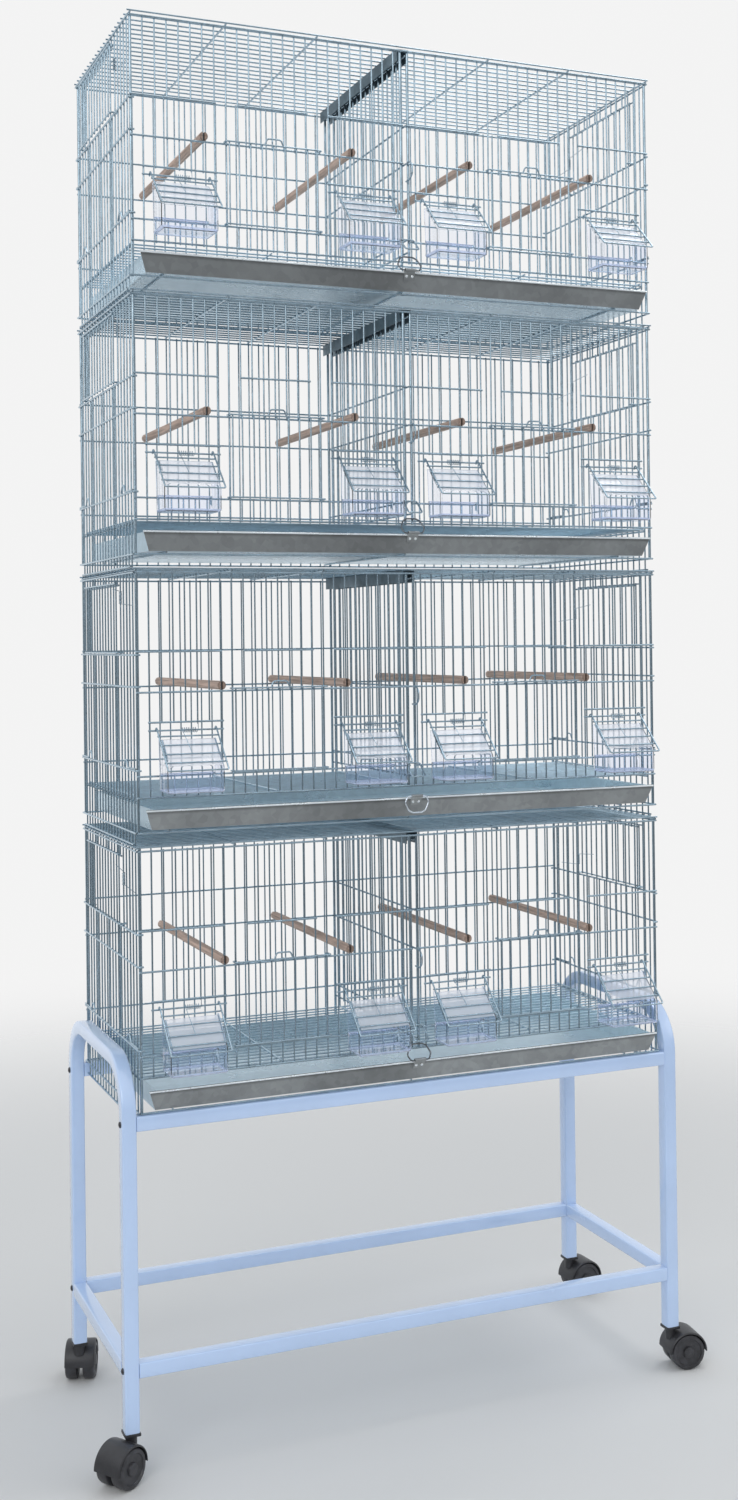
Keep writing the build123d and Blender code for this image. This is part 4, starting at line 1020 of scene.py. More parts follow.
class CAGE_OT_doors(Operator):
    """Front doors that slide on guide bars, and nest doors on the sides"""
    bl_idname = "cage.doors"
    bl_label = "Sliding doors"

    def execute(self, context):
        s = context.scene.cage_sizes
        place = links(s)
        door = self.front_door(s, place)
        nest = self.nest_doors(s, place)
        middle = place.column(sum(place.guides) / 2, 1)
        clips = WireRuns()
        for tier, levels in zip(TIERS, CLIP_LEVELS):
            base = tier_base(tier)
            for (half, side), level in zip(SIDES, levels):
                body = f"front_door_{tier}_{side}"
                hung = copy_at(door, f"door_{tier}_{side}", (half * middle, 0, base))
                settle(hung, body, "zinc_wire", body)
                self.clip(clips, s, place, half, base + level)
            body = f"nest_doors_{tier}"
            settle(copy_at(nest, f"nest_door_pair_{tier}", (0, 0, base)), body, "zinc_wire", body)
        drop(door)
        drop(nest)
        settle(wire_piece("nest_door_clips", clips, "zinc_wire", sides=THIN_SIDES), ROOT, "zinc_wire")
        return {"FINISHED"}

    def clip(self, runs, s, place, half, low):
        """Thin coil on a guide bar of a nest door, with a leg at each end; the left ones are turned round."""
        bar_x = place.side - s.bar / 2
        bar_y = place.row(place.nest_last)
        radius = s.bar / 2 + RUN_GAP + s.clip_wire / 2
        steps = CLIP.steps * CLIP.turns
        high = low + s.clip_rise
        path = [(bar_x - radius, bar_y + s.clip_leg, low - s.clip_leg * CLIP.droop)]
        for n, (x, y) in enumerate(arc(radius, 180, 180 + 360 * CLIP.turns, steps)):
            path.append((bar_x + x, bar_y + y, low + s.clip_rise * n / steps))
        path.append((bar_x - radius, bar_y - s.clip_leg, high + s.clip_leg * CLIP.rise))
        runs.add([(half * x, half * y, z) for x, y, z in path], s.clip_wire)

    def front_door(self, s, place):
        """Bars between two cross wires that hook round the guide bars, with a finger loop on top."""
        runs = WireRuns()
        bar_y = place.rail_line - s.rail - RUN_GAP - s.bar / 2
        wire_y = bar_y - s.bar - HAIR
        low = s.lower + place.rail_half + HAIR + place.bar_half
        high = s.middle + place.rail_half + RUN_GAP + place.bar_half
        count = place.guides[1] - place.guides[0]
        guide = count * s.pitch / 2
        leg = guide + place.bar_half + RUN_GAP + s.bar / 2
        tip_y = place.front + s.bar + RUN_GAP + s.bar / 2
        tip_x = leg - HOOK_TIP * place.bar_half
        columns = [(n - count / 2) * s.pitch for n in range(1, count)]
        columns += [half * (guide - s.bar - RUN_GAP) for half in HALVES]
        for x in columns:
            runs.add(along_z(x, bar_y, low - s.bar / 2, high + s.bar / 2), s.bar)
        hooked = (
            (-tip_x, tip_y), (-leg, tip_y), (-leg, wire_y), (leg, wire_y), (leg, tip_y), (tip_x, tip_y),
        )
        for level in (low, high):
            runs.add([(x, y, level) for x, y in hooked], s.bar, s.bar * HOOK_BEND_SHARE)
        shoulder = FINGER.half * FINGER.shoulder
        crown = high + s.bar + FINGER.rise
        arch = ((-FINGER.half, high), (-shoulder, crown), (shoulder, crown), (FINGER.half, high))
        runs.add([(x, wire_y, z) for x, z in arch], s.bar, FINGER.bend)
        return wire_piece("door_pattern", runs, "zinc_wire")

    def nest_doors(self, s, place):
        """Bars on a low wire that hooks round the guide bars and a straight wire at the top."""
        runs = WireRuns()
        bar_x = place.side_out + RUN_GAP + s.bar / 2
        wire_x = bar_x + s.bar + HAIR
        low = s.side_upper + place.rail_half + HAIR + place.bar_half
        front = place.row(place.nest_first) - place.bar_half - RUN_GAP - s.bar / 2
        rear = place.row(place.nest_last) + place.bar_half + RUN_GAP + s.bar / 2
        tip_x = place.side - s.bar - RUN_GAP - s.bar / 2
        edge = NEST_EDGE_BARS * s.bar
        rows = [place.row(r) for r in range(place.nest_first + 1, place.nest_last)]
        rows += [front + edge + RUN_GAP, rear - edge - RUN_GAP]
        for y in rows:
            runs.turned(along_z(bar_x, y, low - s.bar / 2, s.nest_top), s.bar)
        tip = HOOK_TIP * place.bar_half
        hooked = (
            (tip_x, front + tip), (tip_x, front), (wire_x, front),
            (wire_x, rear), (tip_x, rear), (tip_x, rear - tip),
        )
        runs.turned([(x, y, low) for x, y in hooked], s.bar, s.bar * HOOK_BEND_SHARE)
        runs.turned(along_y(wire_x, front, rear, s.nest_top - place.bar_half), s.bar)
        return wire_piece("nest_pattern", runs, "zinc_wire")


class CAGE_OT_flaps(Operator):
    """Sprung feeder flaps on their hinge wires"""
    bl_idname = "cage.flaps"
    bl_label = "Feeder flaps"

    def execute(self, context):
        s = context.scene.cage_sizes
        f = context.scene.cage_feeders
        place = links(s)
        coil = place.hinge_half + RUN_GAP + f.spring_wire
        flap = self.flap(s, f, place, coil)
        anchors = WireRuns()
        for tier in TIERS:
            base = tier_base(tier)
            for letter, x in zip(FEEDER_LETTERS, place.feeder_middles):
                body = f"feeder_flap_{tier}{letter}"
                settle(copy_at(flap, f"flap_{tier}{letter}", (x, 0, base)), body, "zinc_wire", body)
                self.anchor(anchors, s, f, place, coil, x, base)
        drop(flap)
        settle(wire_piece("spring_anchors", anchors, "zinc_wire", sides=THIN_SIDES), ROOT, "zinc_wire")
        return {"FINISHED"}

    def flap(self, s, f, place, coil):
        """Bent frame, cross wires and the wound spring with its leg, in the slope of a shut flap."""
        out = Vector((0, -math.cos(f.slope), -math.sin(f.slope)))
        up = Vector((0, -math.sin(f.slope), math.cos(f.slope)))
        axis = Vector((0, place.hinge_y, s.hinge))

        def spot(x, along, above):
            return axis + Vector((x, 0, 0)) + out * along + up * above

        runs = WireRuns()
        arm = f.width / 2
        ride = place.flap_flat + HAIR + s.bar / 2
        side = [*arc(ride, *FLAP_CURL), (f.reach - s.bar / 2, ride)]
        bent = [spot(-arm, along, above) for along, above in side]
        bent += [spot(arm, along, above) for along, above in reversed(side)]
        runs.add(bent, s.bar, FLAP_BEND)
        across = arm + s.bar / 2
        under = place.flap_flat - s.bar / 2
        for share in FLAP_CROSS_SHARES:
            along = share * f.reach - place.bar_half
            runs.add([spot(-across, along, under), spot(across, along, under)], s.bar)
        start = SPRING.offset - f.spring_length / 2
        above = place.flap_flat + f.spring_wire * SPRING.lie
        wound = [spot(start + SPRING.slant, f.spring_leg, above), spot(start, coil, above)]
        steps = f.spring_turns * SPRING.steps
        for n in range(SPRING.steps // 6, steps + 1):
            angle = 2 * math.pi * n / SPRING.steps + math.pi / 6
            x = start + f.spring_length * n / steps
            wound.append(spot(x, coil * math.cos(angle), coil * math.sin(angle)))
        runs.add(wound, f.spring_wire)
        return wire_piece("flap_pattern", runs, "zinc_wire")

    def anchor(self, runs, s, f, place, coil, x, base):
        """The end of the spring that hooks over the wire above."""
        at = x + SPRING.offset + f.spring_length / 2 + SPRING.clear * f.spring_wire
        face = place.rail_line - s.rail - f.spring_wire * SPRING.lie
        hinge = base + s.hinge
        opening = base + s.opening
        over = opening + s.rail / 2 + f.spring_wire / 2
        path = (
            (place.hinge_y - coil, hinge), (face, hinge + SPRING.rise), (face, over), (place.front, over),
            (place.front, opening - SPRING.hook),
        )
        runs.add([(at, y, z) for y, z in path], f.spring_wire, SPRING.bend)


class CAGE_OT_cups(Operator):
    """Clear feeder cups under the flaps"""
    bl_idname = "cage.cups"
    bl_label = "Feeder cups"

    def execute(self, context):
        s = context.scene.cage_sizes
        f = context.scene.cage_feeders
        place = links(s)
        cup = self.cup(s, f, place)
        copies = []
        for tier in TIERS:
            for letter, x in zip(FEEDER_LETTERS, place.feeder_middles):
                copies.append(copy_at(cup, f"cup_{tier}{letter}", (x, 0, tier_base(tier))))
        drop(cup)
        settle(joined("clear_cups", copies), ROOT, "clear_plastic", "feeder_cups")
        return {"FINISHED"}

    def cup(self, s, f, place):
        """Tub with a sloping window under the flap, open to the cage above its low back wall."""
        back = place.rail_line - s.rail - SEAT_GAP
        front = place.hinge_y - f.cup_out
        under_flap = (place.flap_flat - s.bar - SEAT_GAP) / math.cos(f.slope)
        half = f.cup_width / 2
        low_back = s.lower + place.rail_half + SEAT_GAP + f.cup_wall
        window_low = s.hinge - f.cup_out * math.tan(f.slope) + under_flap
        window_back = place.hinge_y - (s.hinge - f.cup_top + under_flap) / math.tan(f.slope)
        outline = (
            (front, f.cup_floor), (back, f.cup_floor), (back, low_back),
            (back, f.cup_top), (window_back, f.cup_top), (front, window_low),
        )
        work = bmesh.new()
        sides = [[work.verts.new((x, y, z)) for y, z in outline] for x in (-half, half)]
        bridge(work, sides, open_strips=(2, 3))
        bmesh.ops.recalc_face_normals(work, faces=work.faces)
        inner = [edge for edge in work.edges if len(edge.link_faces) == 2]
        soften(work, inner, CUP.corner, CUP.corner_steps)
        for face in work.faces:
            low = face.calc_center_median().z < f.cup_floor + CUP.corner
            face.material_index = int(low and face.normal.z > CUP.level)
            # Big tilted faces take the window finish, whose white share is a painted reflection.
            if face.normal.z > CUP.tilted and face.calc_area() > CUP.window_area:
                face.material_index = 2
        shell = from_bmesh("cup_pattern", work, "clear_plastic", "clear_edge", "clear_window")
        for face in shell.data.polygons:
            face.use_smooth = face.area < CUP.corner_area
        modified(
            shell, "SOLIDIFY", thickness=f.cup_wall, offset=-1, use_even_offset=True, material_offset_rim=1,
        )
        work = bmesh.new()
        edge = half - CUP.inset
        corner = (-edge, back - f.cup_wall, low_back - f.cup_wall)
        slab(work, corner, (edge, place.front - SEAT_GAP, low_back))
        soften(work, list(work.edges), CUP.soft)
        return joined("cup_pattern", [shell, from_bmesh("cup_flange", work, "clear_edge")])


class CAGE_OT_dividers(Operator):
    """Wire dividers with their pull loops"""
    bl_idname = "cage.dividers"
    bl_label = "Dividers"

    def execute(self, context):
        s = context.scene.cage_sizes
        pattern = self.divider(s, links(s))
        for tier in TIERS:
            body = f"divider_{tier}"
            hung = copy_at(pattern, f"divider_wires_{tier}", (0, 0, tier_base(tier)))
            settle(hung, body, "zinc_wire", body)
        drop(pattern)
        return {"FINISHED"}

    def divider(self, s, place):
        """Bars on rails; the last bar stands on the grate, and a loop and a handle stand out at the front."""
        runs = WireRuns()
        top = s.wall - DIVIDER.top_gap
        bar_x = -HAIR - s.bar / 2
        rail_x = s.rail / 2
        for row in range(1, s.depth_spaces):
            low = DIVIDER.bottom
            if row == s.depth_spaces - 1:
                low = place.grate + HAIR + s.bar + SEAT_GAP
            runs.add(along_z(bar_x, place.row(row) - s.pitch / 2, low, top), s.bar)
        for level in (DIVIDER.bottom + place.rail_half, s.middle, s.upper, top - place.rail_half):
            runs.add(along_y(rail_x, place.front, place.inner_rear, level), s.rail)
        level = s.lower + 2 * place.rail_half + HAIR
        line = place.front - RUN_GAP
        runs.add(along_y(rail_x, line, place.inner_rear, level), s.rail)
        half = DIVIDER.loop_half
        cross = line - HAIR - s.rail / 2
        foot_y = line - s.rail - DIVIDER.loop_out
        foot_z = level - DIVIDER.loop_drop
        loop = along_x(-half, half, cross, level) + along_x(half, -half, foot_y, foot_z)
        runs.add(loop, s.bar, DIVIDER.loop_bend, closed=True)
        handle = [(rail_x, place.front - out, s.middle - below) for out, below in DIVIDER_HANDLE]
        runs.add(handle, s.bar, HANDLE_BEND)
        return wire_piece("divider_pattern", runs, "zinc_wire")


class CAGE_OT_trays(Operator):
    """Folded trays with flared lips, ring brackets and pull rings"""
    bl_idname = "cage.trays"
    bl_label = "Trays and pull rings"

    def execute(self, context):
        t = context.scene.cage_trays
        place = links(context.scene.cage_sizes)
        line = self.lip_line(t, place)
        tray = joined("tray_pattern", [
            self.sheet(t, place), *self.hems(t, place), self.bracket(t, line), self.rivets(t, line),
        ])
        for tier in TIERS:
            base = tier_base(tier)
            body = f"tray_{tier}"
            settle(copy_at(tray, f"tray_sheet_{tier}", (0, 0, base)), body, "zinc_sheet", body)
            self.ring(t, line, tier, base)
        drop(tray)
        return {"FINISHED"}

    def lip_line(self, t, place):
        """Places by the lip: up the sheet from its lower edge, and out of it."""
        line = SimpleNamespace()
        line.length = math.hypot(t.lip_out, t.height)
        line.up = Vector((0, -t.lip_out, t.height)) / line.length
        line.out = Vector((0, -t.height, -t.lip_out)) / line.length
        line.foot = Vector((0, place.tray_front, place.tray_bottom))
        line.room = t.ring_wire * math.sqrt(0.5) + SLIDE_GAP
        line.face = HAIR + BRACKET_PLATE
        line.axis_up = line.length + t.ring_rise
        line.axis_out = line.face + line.room
        line.spot = lambda x, up, out: line.foot + Vector((x, 0, 0)) + line.up * up + line.out * out
        return line

    def sheet(self, t, place):
        """Pan and lip of folded sheet; the lip is wider than the pan and has its own finish and UV."""
        front = place.tray_front
        rear = place.inner_rear
        low = place.tray_bottom
        high = low + t.height
        half = t.width / 2
        edge = t.lip_width / 2
        work = bmesh.new()
        spread = work.loops.layers.uv.new(LIP_UV)
        outline = along_x(-half, half, front, low) + along_x(half, -half, rear, low)
        floor = [work.verts.new(p) for p in outline]
        back = [work.verts.new(p) for p in along_x(-half, half, rear, high)]
        corner = [work.verts.new(p) for p in along_x(-half, half, front - t.lip_out + t.sheet, high)]
        wing = [work.verts.new(p) for p in along_x(-edge, edge, front - t.lip_out, high)]
        work.faces.new(floor)
        work.faces.new((floor[2], floor[3], back[0], back[1]))
        work.faces.new((floor[1], floor[2], back[1], corner[1]))
        work.faces.new((floor[3], floor[0], corner[0], back[0]))
        lip = work.faces.new((floor[0], floor[1], wing[1], wing[0]))
        lip.material_index = 1
        # The lip's UV runs up its height, so that the painted shade sits under the hem.
        for loop in lip.loops:
            loop[spread].uv = (loop.vert.co.x, (loop.vert.co.z - low) / t.height)
        shell = from_bmesh("tray_shell", work, "zinc_pan", "zinc_lip", smooth=False)
        return modified(shell, "SOLIDIFY", thickness=t.sheet, offset=-1)

    def hems(self, t, place):
        """Folded edges along the top of the lip and of the side and rear walls."""
        front = place.tray_front - t.lip_out
        rear = place.inner_rear - HEM.rear
        high = place.tray_bottom + t.height - HEM.drop
        edge = t.lip_width / 2
        inner = t.width / 2 - HEM.inset
        start = front + HEM.start
        lip = WireRuns()
        lip.add(along_x(-edge, edge, front + HEM.inset, high), HEM.lip)
        walls = WireRuns()
        walls.add(along_y(-inner, start, rear, high) + along_y(inner, rear, start, high), HEM.wall, HEM.bend)
        return [
            # The lip's hem takes the bright copy of the lip colour, a painted highlight.
            wire_piece("lip_hem", lip, "lip_edge", sides=THIN_SIDES),
            wire_piece("wall_hem", walls, "zinc_pan", sides=THIN_SIDES),
        ]

    def bracket(self, t, line):
        """Plate on the lip whose top curls round the ring's bar."""
        outer = line.room + BRACKET_PLATE
        low = line.axis_up + outer - t.bracket
        curl = arc(outer, *BRACKET_CURL) + arc(line.room, *BRACKET_CURL)[::-1]
        outline = [(low, HAIR)]
        outline += [(line.axis_up + up, line.axis_out + out) for out, up in curl]
        outline.append((low, line.face))
        work = bmesh.new()
        half = t.bracket / 2
        bridge(work, [[work.verts.new(line.spot(x, up, out)) for up, out in outline] for x in (-half, half)])
        return from_bmesh("ring_bracket", work, "lip_bracket")

    def rivets(self, t, line):
        work = bmesh.new()
        facing = line.out.to_track_quat("Z", "Y").to_matrix().to_4x4()
        for half in HALVES:
            aside = half * t.bracket * RIVET.aside
            seat = line.spot(aside, line.axis_up - t.bracket * RIVET.below, line.face)
            lathe(work, RIVET_DOME, RIVET.sides, Matrix.Translation(seat) @ facing)
        # The rivets share the hem's bright finish, a painted highlight.
        return from_bmesh("rivets", work, "lip_edge")

    def ring(self, t, line, tier, base):
        """Bent ring; it hangs on one tier, and is raised and leans back on the others."""
        hanging = tier == HANGING_RING_TIER
        lean = math.radians(180 if hanging else RING_LEAN)
        up = Vector((0, math.sin(lean), math.cos(lean)))
        axis = line.spot(0, line.axis_up, line.axis_out) + Vector((0, 0, base))
        half = t.ring_wire / 2
        neck = t.ring_neck / 2 - half
        belly = t.ring_width / 2 - half
        tip = t.ring_height - half
        side = (
            (neck, 0), (belly, t.ring_belly),
            (neck * RING.shoulder, tip * RING.shoulder_rise), (neck * RING.crown, tip),
        )
        shape = [(-neck, 0), *side, *((-x, z) for x, z in side[:0:-1])]
        runs = WireRuns()
        loop = [axis + Vector((x, 0, 0)) + up * z for x, z in shape]
        runs.add(loop, t.ring_wire, RING.bend, closed=True)
        body = f"tray_ring_{tier}"
        # The hanging ring takes a painted highlight, and the raised ones take the dark ring colour as a
        # painted dark reflection.
        ring_shading = "ring_bright" if hanging else "ring_wire"
        settle(wire_piece(f"pull_ring_{tier}", runs, ring_shading, sides=RING.sides), body, "zinc_wire", body)


class CAGE_OT_perches(Operator):
    """Dowel perches with slotted ends"""
    bl_idname = "cage.perches"
    bl_label = "Perches"

    def execute(self, context):
        s = context.scene.cage_sizes
        place = links(s)
        perch = self.perch(s, place)
        copies = []
        for tier, columns in zip(TIERS, PERCH_COLUMNS):
            for column, half in zip(columns, (-1, -1, 1, 1)):
                x = place.column(column, half)
                copies.append(copy_at(perch, f"perch_{tier}_{len(copies)}", (x, 0, tier_base(tier))))
        drop(perch)
        settle(joined("dowel_perches", copies), ROOT, "perch_wood", "perches")
        return {"FINISHED"}

    def perch(self, s, place):
        """Dowel on the middle rails whose slotted ends straddle a bar at the front and at the rear."""
        radius = PERCH.radius
        soft = PERCH.soft
        reach = place.rear + PERCH.nose
        centre = s.middle + place.rail_half + HAIR + radius
        turn = Matrix.Translation((0, 0, centre)) @ Matrix.Rotation(math.radians(-90), 4, "X")
        profile = [
            (0.0, -reach), (radius - soft, -reach), (radius, -reach + soft),
            (radius, reach - soft), (radius - soft, reach), (0.0, reach),
        ]
        work = bmesh.new()
        lathe(work, profile, PERCH.sides, turn)
        dowel = from_bmesh("perch_pattern", work, "perch_wood", "perch_end")
        slot = PERCH.nose + s.bar + RUN_GAP
        wide = PERCH.slot_half
        work = bmesh.new()
        for half in HALVES:
            near, far = sorted((half * (reach - slot), half * (reach + PERCH.over)))
            slab(work, (-wide, near, centre - 2 * radius), (wide, far, centre + 2 * radius))
        cut(dowel, from_bmesh("perch_cutter", work, "perch_end", smooth=False), material_mode="TRANSFER")
        for face in dowel.data.polygons:
            if abs(face.center.y) > reach - PERCH.dark:
                face.material_index = 1
        return dowel


class CAGE_OT_stand(Operator):
    """Bent end frames, rails, screws and leg plugs"""
    bl_idname = "cage.stand"
    bl_label = "Tube stand"

    def execute(self, context):
        st = context.scene.cage_stand
        lines = stand_lines(context.scene.cage_sizes, st)
        outline = rounded_square(st.tube, st.tube_corner)
        self.end_frames(st, lines, outline)
        self.rails(st, lines, outline)
        self.screws(st, lines)
        self.plugs(st, lines)
        return {"FINISHED"}

    def end_frames(self, st, lines, outline):
        top = st.frame_top - st.tube / 2
        work = bmesh.new()
        for half in HALVES:
            x = half * lines.x
            path = [(x, -lines.y, st.leg_foot)]
            for back, up in arc(st.bend, 180, 90, BEND_STEPS):
                path.append((x, -lines.y + st.bend + back, top - st.bend + up))
            path += [(px, -py, pz) for px, py, pz in reversed(path)]
            sweep(work, path, (1, 0, 0), outline)
        settle(from_bmesh("bent_end_frames", work, "white_tube"), ROOT, "white_tube", "end_frames")

    def rails(self, st, lines, outline):
        end = lines.x - st.tube / 2 - HAIR
        work = bmesh.new()
        for y in (-lines.y, lines.y):
            for z in (lines.upper, st.low_rail):
                sweep(work, along_x(-end, end, y, z), (0, 1, 0), outline)
        end = lines.y - st.tube / 2 - HAIR
        for x in (-lines.x, lines.x):
            sweep(work, along_y(x, -end, end, st.low_rail), (1, 0, 0), outline)
        settle(from_bmesh("tube_rails", work, "white_tube"), ROOT, "white_tube", "stand_rails")

    def screws(self, st, lines):
        """Round heads with a cross recess, on the outer faces of the legs at the ends of the rails."""
        work = bmesh.new()
        lathe(work, [(SCREW.radius * share, height) for share, height in SCREW_DOME], SCREW.sides)
        head = from_bmesh("screw_pattern", work, "dark_screw")
        work = bmesh.new()
        for wide, deep in SCREW_CROSS:
            slab(work, (-wide, -deep, SCREW.recess), (wide, deep, SCREW.over))
        cut(head, from_bmesh("screw_cutter", work, "dark_screw", smooth=False), use_self=True)
        copies = []
        for half in HALVES:
            face = half * (lines.x + st.tube / 2 + HAIR)
            turn = Matrix.Rotation(half * math.pi / 2, 4, "Y")
            for y in (-lines.y, lines.y):
                for z in (lines.upper, st.low_rail):
                    copies.append(copy_at(head, f"screw_{len(copies)}", (face, y, z), turn))
        drop(head)
        settle(joined("screw_heads", copies), ROOT, "dark_screw", "frame_screws")

    def plugs(self, st, lines):
        work = bmesh.new()
        half = st.tube / 2 + PLUG.over
        top = st.leg_foot - HAIR
        for x, y in lines.legs:
            slab(work, (x - half, y - half, top - PLUG.thick), (x + half, y + half, top))
        soften(work, list(work.edges), PLUG.soft)
        settle(from_bmesh("plug_plates", work, "black_plastic"), ROOT, "black_plastic", "leg_plugs")


class CAGE_OT_casters(Operator):
    """Twin-wheel swivel casters"""
    bl_idname = "cage.casters"
    bl_label = "Casters"

    def execute(self, context):
        st = context.scene.cage_stand
        lines = stand_lines(context.scene.cage_sizes, st)
        patterns = {
            "caster_yoke": (self.yoke(st), "black_plastic"),
            "caster_wheels": (self.wheels(st), "black_wheel"),
        }
        for corner, (x, y), angle in zip(CORNERS, lines.legs, CASTER_TURNS):
            turn = Matrix.Rotation(math.radians(angle), 4, "Z")
            for kind, (pattern, slot) in patterns.items():
                body = f"{kind}_{corner}"
                settle(copy_at(pattern, f"{kind}_look_{corner}", (x, y, 0), turn), body, slot, body)
        for pattern, slot in patterns.values():
            drop(pattern)
        return {"FINISHED"}

    def yoke(self, st):
        """Hood over the wheels, web between them, neck and stem; the wheels trail towards +X."""
        radius = st.wheel / 2
        span = CASTER.web / 2 + st.wheel_width + CASTER.play
        inner = radius + CASTER.hood_room
        outer = inner + CASTER.hood
        sections = [(-span + inset, outer - step) for inset, step in HOOD_EDGE]
        sections += [(span - inset, outer - step) for inset, step in reversed(HOOD_EDGE)]
        sections += [(span, inner), (-span, inner)]
        half_turn = arc(1.0, 0, 180, CASTER.steps)
        work = bmesh.new()
        rings = []
        for ahead, up in half_turn:
            rings.append([work.verts.new((st.trail + r * ahead, y, radius + r * up)) for y, r in sections])
        bridge(work, rings)
        hood = from_bmesh("hood", work, "black_plastic")
        reach = inner + CASTER.bite
        fan = [(st.trail + reach * ahead, radius + reach * up) for ahead, up in half_turn]
        fan += [(st.trail + half * CASTER.web_end, radius - CASTER.web_drop) for half in HALVES]
        work = bmesh.new()
        bridge(work, [[work.verts.new((x, half * CASTER.web / 2, z)) for x, z in fan] for half in HALVES])
        web = from_bmesh("web", work, "black_plastic")
        low = radius + math.sqrt(inner * inner - st.trail * st.trail) - CASTER.bite
        shoulder = st.leg_foot - PLUG.thick - CASTER.neck_gap
        top = st.leg_foot + CASTER.stem_top
        neck = CASTER.bore + CASTER.neck
        stem = CASTER.bore - CASTER.stem_room
        work = bmesh.new()
        lathe(work, [
            (0.0, low), (neck, low), (neck, shoulder - CASTER.neck_step),
            (CASTER.bore + CASTER.neck_soft, shoulder), (stem, shoulder),
            (stem, st.leg_foot + CASTER.stem_shank), (CASTER.bore - CASTER.stem_soft, top), (0.0, top),
        ], CASTER.neck_sides)
        return joined("yoke_pattern", [hood, web, from_bmesh("stem", work, "black_plastic")])

    def wheels(self, st):
        """Two wheels with rounded treads, sunk faces and hub caps on one axle."""
        radius = st.wheel / 2
        near = CASTER.web / 2 + CASTER.play
        far = near + st.wheel_width
        profile = [(0.0, near)]
        profile += [(radius - inset, near + step) for inset, step in WHEEL_INNER]
        profile += [(radius - inset, far - step) for inset, step in WHEEL_OUTER]
        profile += [(hub, far - step) for hub, step in HUB_CAP]
        place = Matrix.Translation((st.trail, 0, radius))
        work = bmesh.new()
        for half in HALVES:
            lathe(work, profile, CASTER.wheel_sides, place @ Matrix.Rotation(-half * math.pi / 2, 4, "X"))
        end = near + CASTER.axle_bite
        axle = [(0.0, -end), (CASTER.axle, -end), (CASTER.axle, end), (0.0, end)]
        lathe(work, axle, CASTER.axle_sides, place @ Matrix.Rotation(math.pi / 2, 4, "X"))
        return from_bmesh("wheels_pattern", work, "black_wheel")


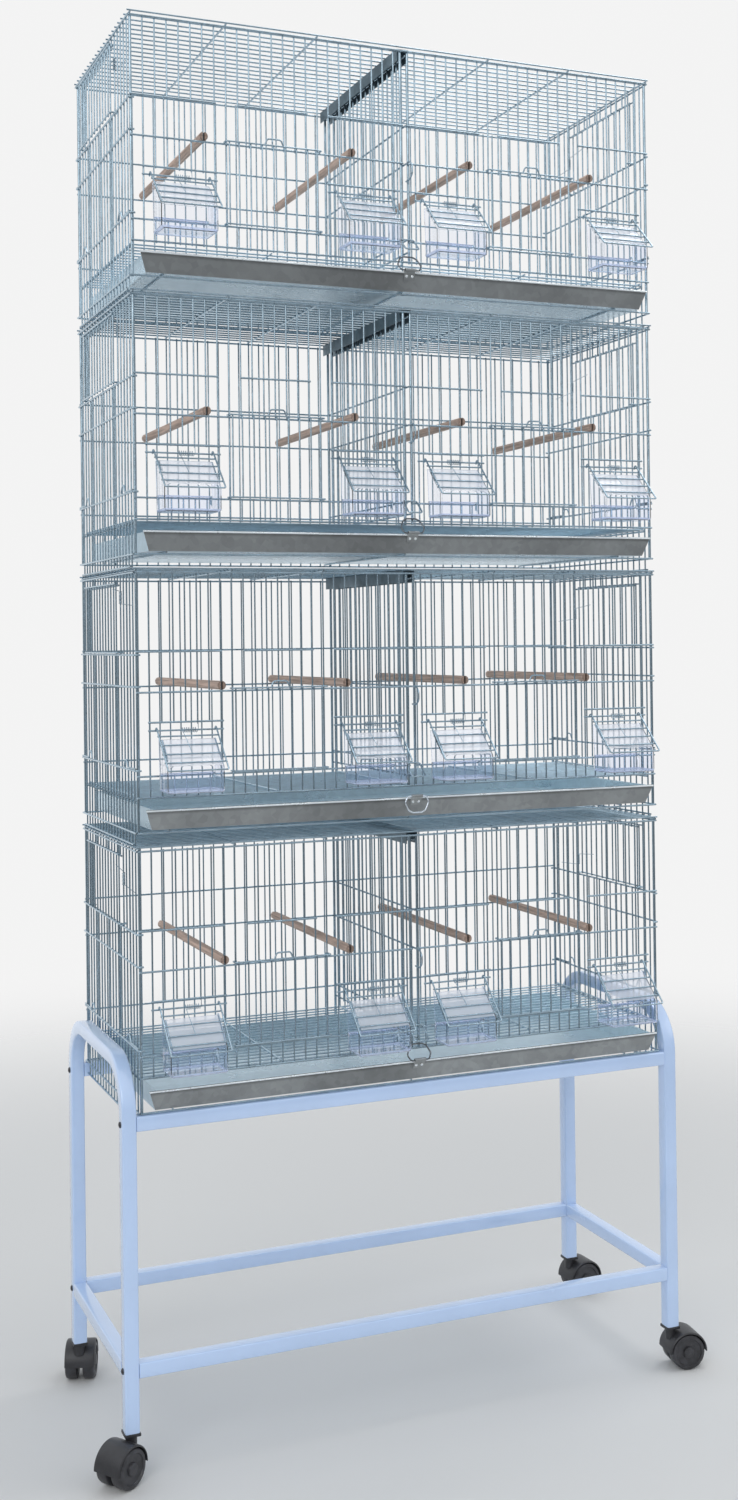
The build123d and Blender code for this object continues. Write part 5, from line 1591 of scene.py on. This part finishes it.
class CAGE_OT_stage(Operator):
    """Pale floor, soft studio light and the camera"""
    bl_idname = "cage.stage"
    bl_label = "Stage"

    def execute(self, context):
        self.floor(context.scene.cage_colours.floor)
        self.world()
        self.lamps()
        self.camera()
        context.scene.view_settings.view_transform = "Standard"
        return {"FINISHED"}

    def floor(self, colour):
        """Floor that fades out into the backdrop round the stand."""
        tree, shader = new_material("floor")
        away = add_node(tree, "ShaderNodeVectorMath", {0: coordinates(tree)}, operation="LENGTH")
        fade = ranged(
            tree, away.outputs["Value"], 1.0, 0.0, *FLOOR_FADE, interpolation_type="SMOOTHERSTEP",
        )
        feed(shader, {"Base Color": (*colour, 1), "Roughness": 0.75, "Alpha": fade})
        work = bmesh.new()
        bmesh.ops.create_grid(work, x_segments=1, y_segments=1, size=FLOOR_HALF)
        from_bmesh("studio_floor", work, "floor", smooth=False)

    def world(self):
        """Pale backdrop, also through the cups, soft light, and a studio for metals to mirror."""
        world = bpy.data.worlds.new("Studio")
        world.use_nodes = True
        tree = world.node_tree

        def either(factor, first, second):
            inputs = {"Fac": factor, 1: first, 2: second}
            return add_node(tree, "ShaderNodeMixShader", inputs).outputs["Shader"]

        light = feed(tree.nodes["Background"], {"Color": (0.93, 0.96, 1.0, 1), "Strength": 0.7})
        seen = add_node(tree, "ShaderNodeBackground", {"Color": (0.9, 0.9, 0.9, 1), "Strength": 1.0})
        mirrored = add_node(tree, "ShaderNodeBackground", {
            "Color": (0.94, 0.97, 1.0, 1), "Strength": self.mirrored_level(tree),
        })
        rays = tree.nodes.new("ShaderNodeLightPath").outputs
        through = rays["Is Transmission Ray"]
        direct = computed(tree, "MAXIMUM", rays["Is Camera Ray"], through)
        bounced = computed(tree, "SUBTRACT", rays["Is Glossy Ray"], through, use_clamp=True)
        backdrop = either(direct, light.outputs["Background"], seen.outputs["Background"])
        surface = either(bounced, backdrop, mirrored.outputs["Background"])
        feed(tree.nodes["World Output"], {"Surface": surface})
        bpy.context.scene.world = world

    def mirrored_level(self, tree):
        """What metals mirror: bright above and behind, dim in front."""
        axes = add_node(tree, "ShaderNodeSeparateXYZ", {"Vector": coordinates(tree, "Generated")}).outputs
        above = ranged(tree, axes["Z"], STUDIO_DIM, 1.2, 0.1, 0.7)
        behind = ranged(tree, axes["Y"], STUDIO_DIM, 0.95, -0.1, 0.5)
        return computed(tree, "MAXIMUM", above, behind)

    def lamps(self):
        for name, (spot, size, power) in LAMPS.items():
            lamp = bpy.data.lights.new(name, "AREA")
            lamp.size = size
            lamp.energy = power
            holder = linked(name, lamp)
            holder.location = spot
            holder.rotation_euler = (LAMP_TARGET - Vector(spot)).to_track_quat("-Z", "Y").to_euler()

    def camera(self):
        """Placed by the corners of the cages; the picture is 738 wide and 1500 high."""
        place = (-0.9150, -2.2119, 1.0560)
        yaw, pitch, roll = 0.39265, 0.00592, -0.01208
        picture_height = 1500
        focal = 1658.2
        principal_row = 631.2
        forward = Vector((math.sin(yaw) * math.cos(pitch), math.cos(yaw) * math.cos(pitch), math.sin(pitch)))
        level = Vector((math.cos(yaw), -math.sin(yaw), 0))
        up = level.cross(forward)
        right = level * math.cos(roll) + up * math.sin(roll)
        top = up * math.cos(roll) - level * math.sin(roll)
        lens = bpy.data.cameras.new("Photo view")
        lens.sensor_width = 36.0
        lens.lens = lens.sensor_width * focal / picture_height
        lens.shift_y = (principal_row - picture_height / 2) / picture_height
        holder = linked("Photo view", lens)
        turn = Matrix((right, top, -forward)).transposed().to_4x4()
        holder.matrix_world = Matrix.Translation(place) @ turn
        bpy.context.scene.camera = holder


class CAGE_PT_panel(Panel):
    """Sizes, colours and pieces of the bird cage"""
    bl_label = "Bird cage"
    bl_idname = "CAGE_PT_panel"
    bl_space_type = "VIEW_3D"
    bl_region_type = "UI"
    bl_category = "Bird cage"

    def draw(self, context):
        for group in SIZE_GROUPS:
            box = self.layout.box()
            values = getattr(context.scene, group)
            for label in values.bl_rna.properties.keys():
                if label not in {"rna_type", "name"}:
                    box.prop(values, label)
        for operator in OPERATORS:
            self.layout.operator(operator.bl_idname)


SIZE_GROUPS = {
    "cage_sizes": CageSizes, "cage_feeders": FeederSizes, "cage_trays": TraySizes,
    "cage_stand": StandSizes, "cage_colours": CageColours,
}
OPERATORS = (
    CAGE_OT_finishes, CAGE_OT_panels, CAGE_OT_doors, CAGE_OT_flaps, CAGE_OT_cups, CAGE_OT_dividers,
    CAGE_OT_trays, CAGE_OT_perches, CAGE_OT_stand, CAGE_OT_casters, CAGE_OT_stage,
)
CLASSES = (*SIZE_GROUPS.values(), *OPERATORS, CAGE_PT_panel)


def register():
    for item in CLASSES:
        bpy.utils.register_class(item)
    for label, group in SIZE_GROUPS.items():
        setattr(bpy.types.Scene, label, PointerProperty(type=group))


def unregister():
    for label in SIZE_GROUPS:
        delattr(bpy.types.Scene, label)
    for item in reversed(CLASSES):
        bpy.utils.unregister_class(item)


def main():
    register()
    for operator in OPERATORS:
        getattr(bpy.ops.cage, operator.bl_idname.split(".")[1])()


if __name__ == "__main__":
    main()
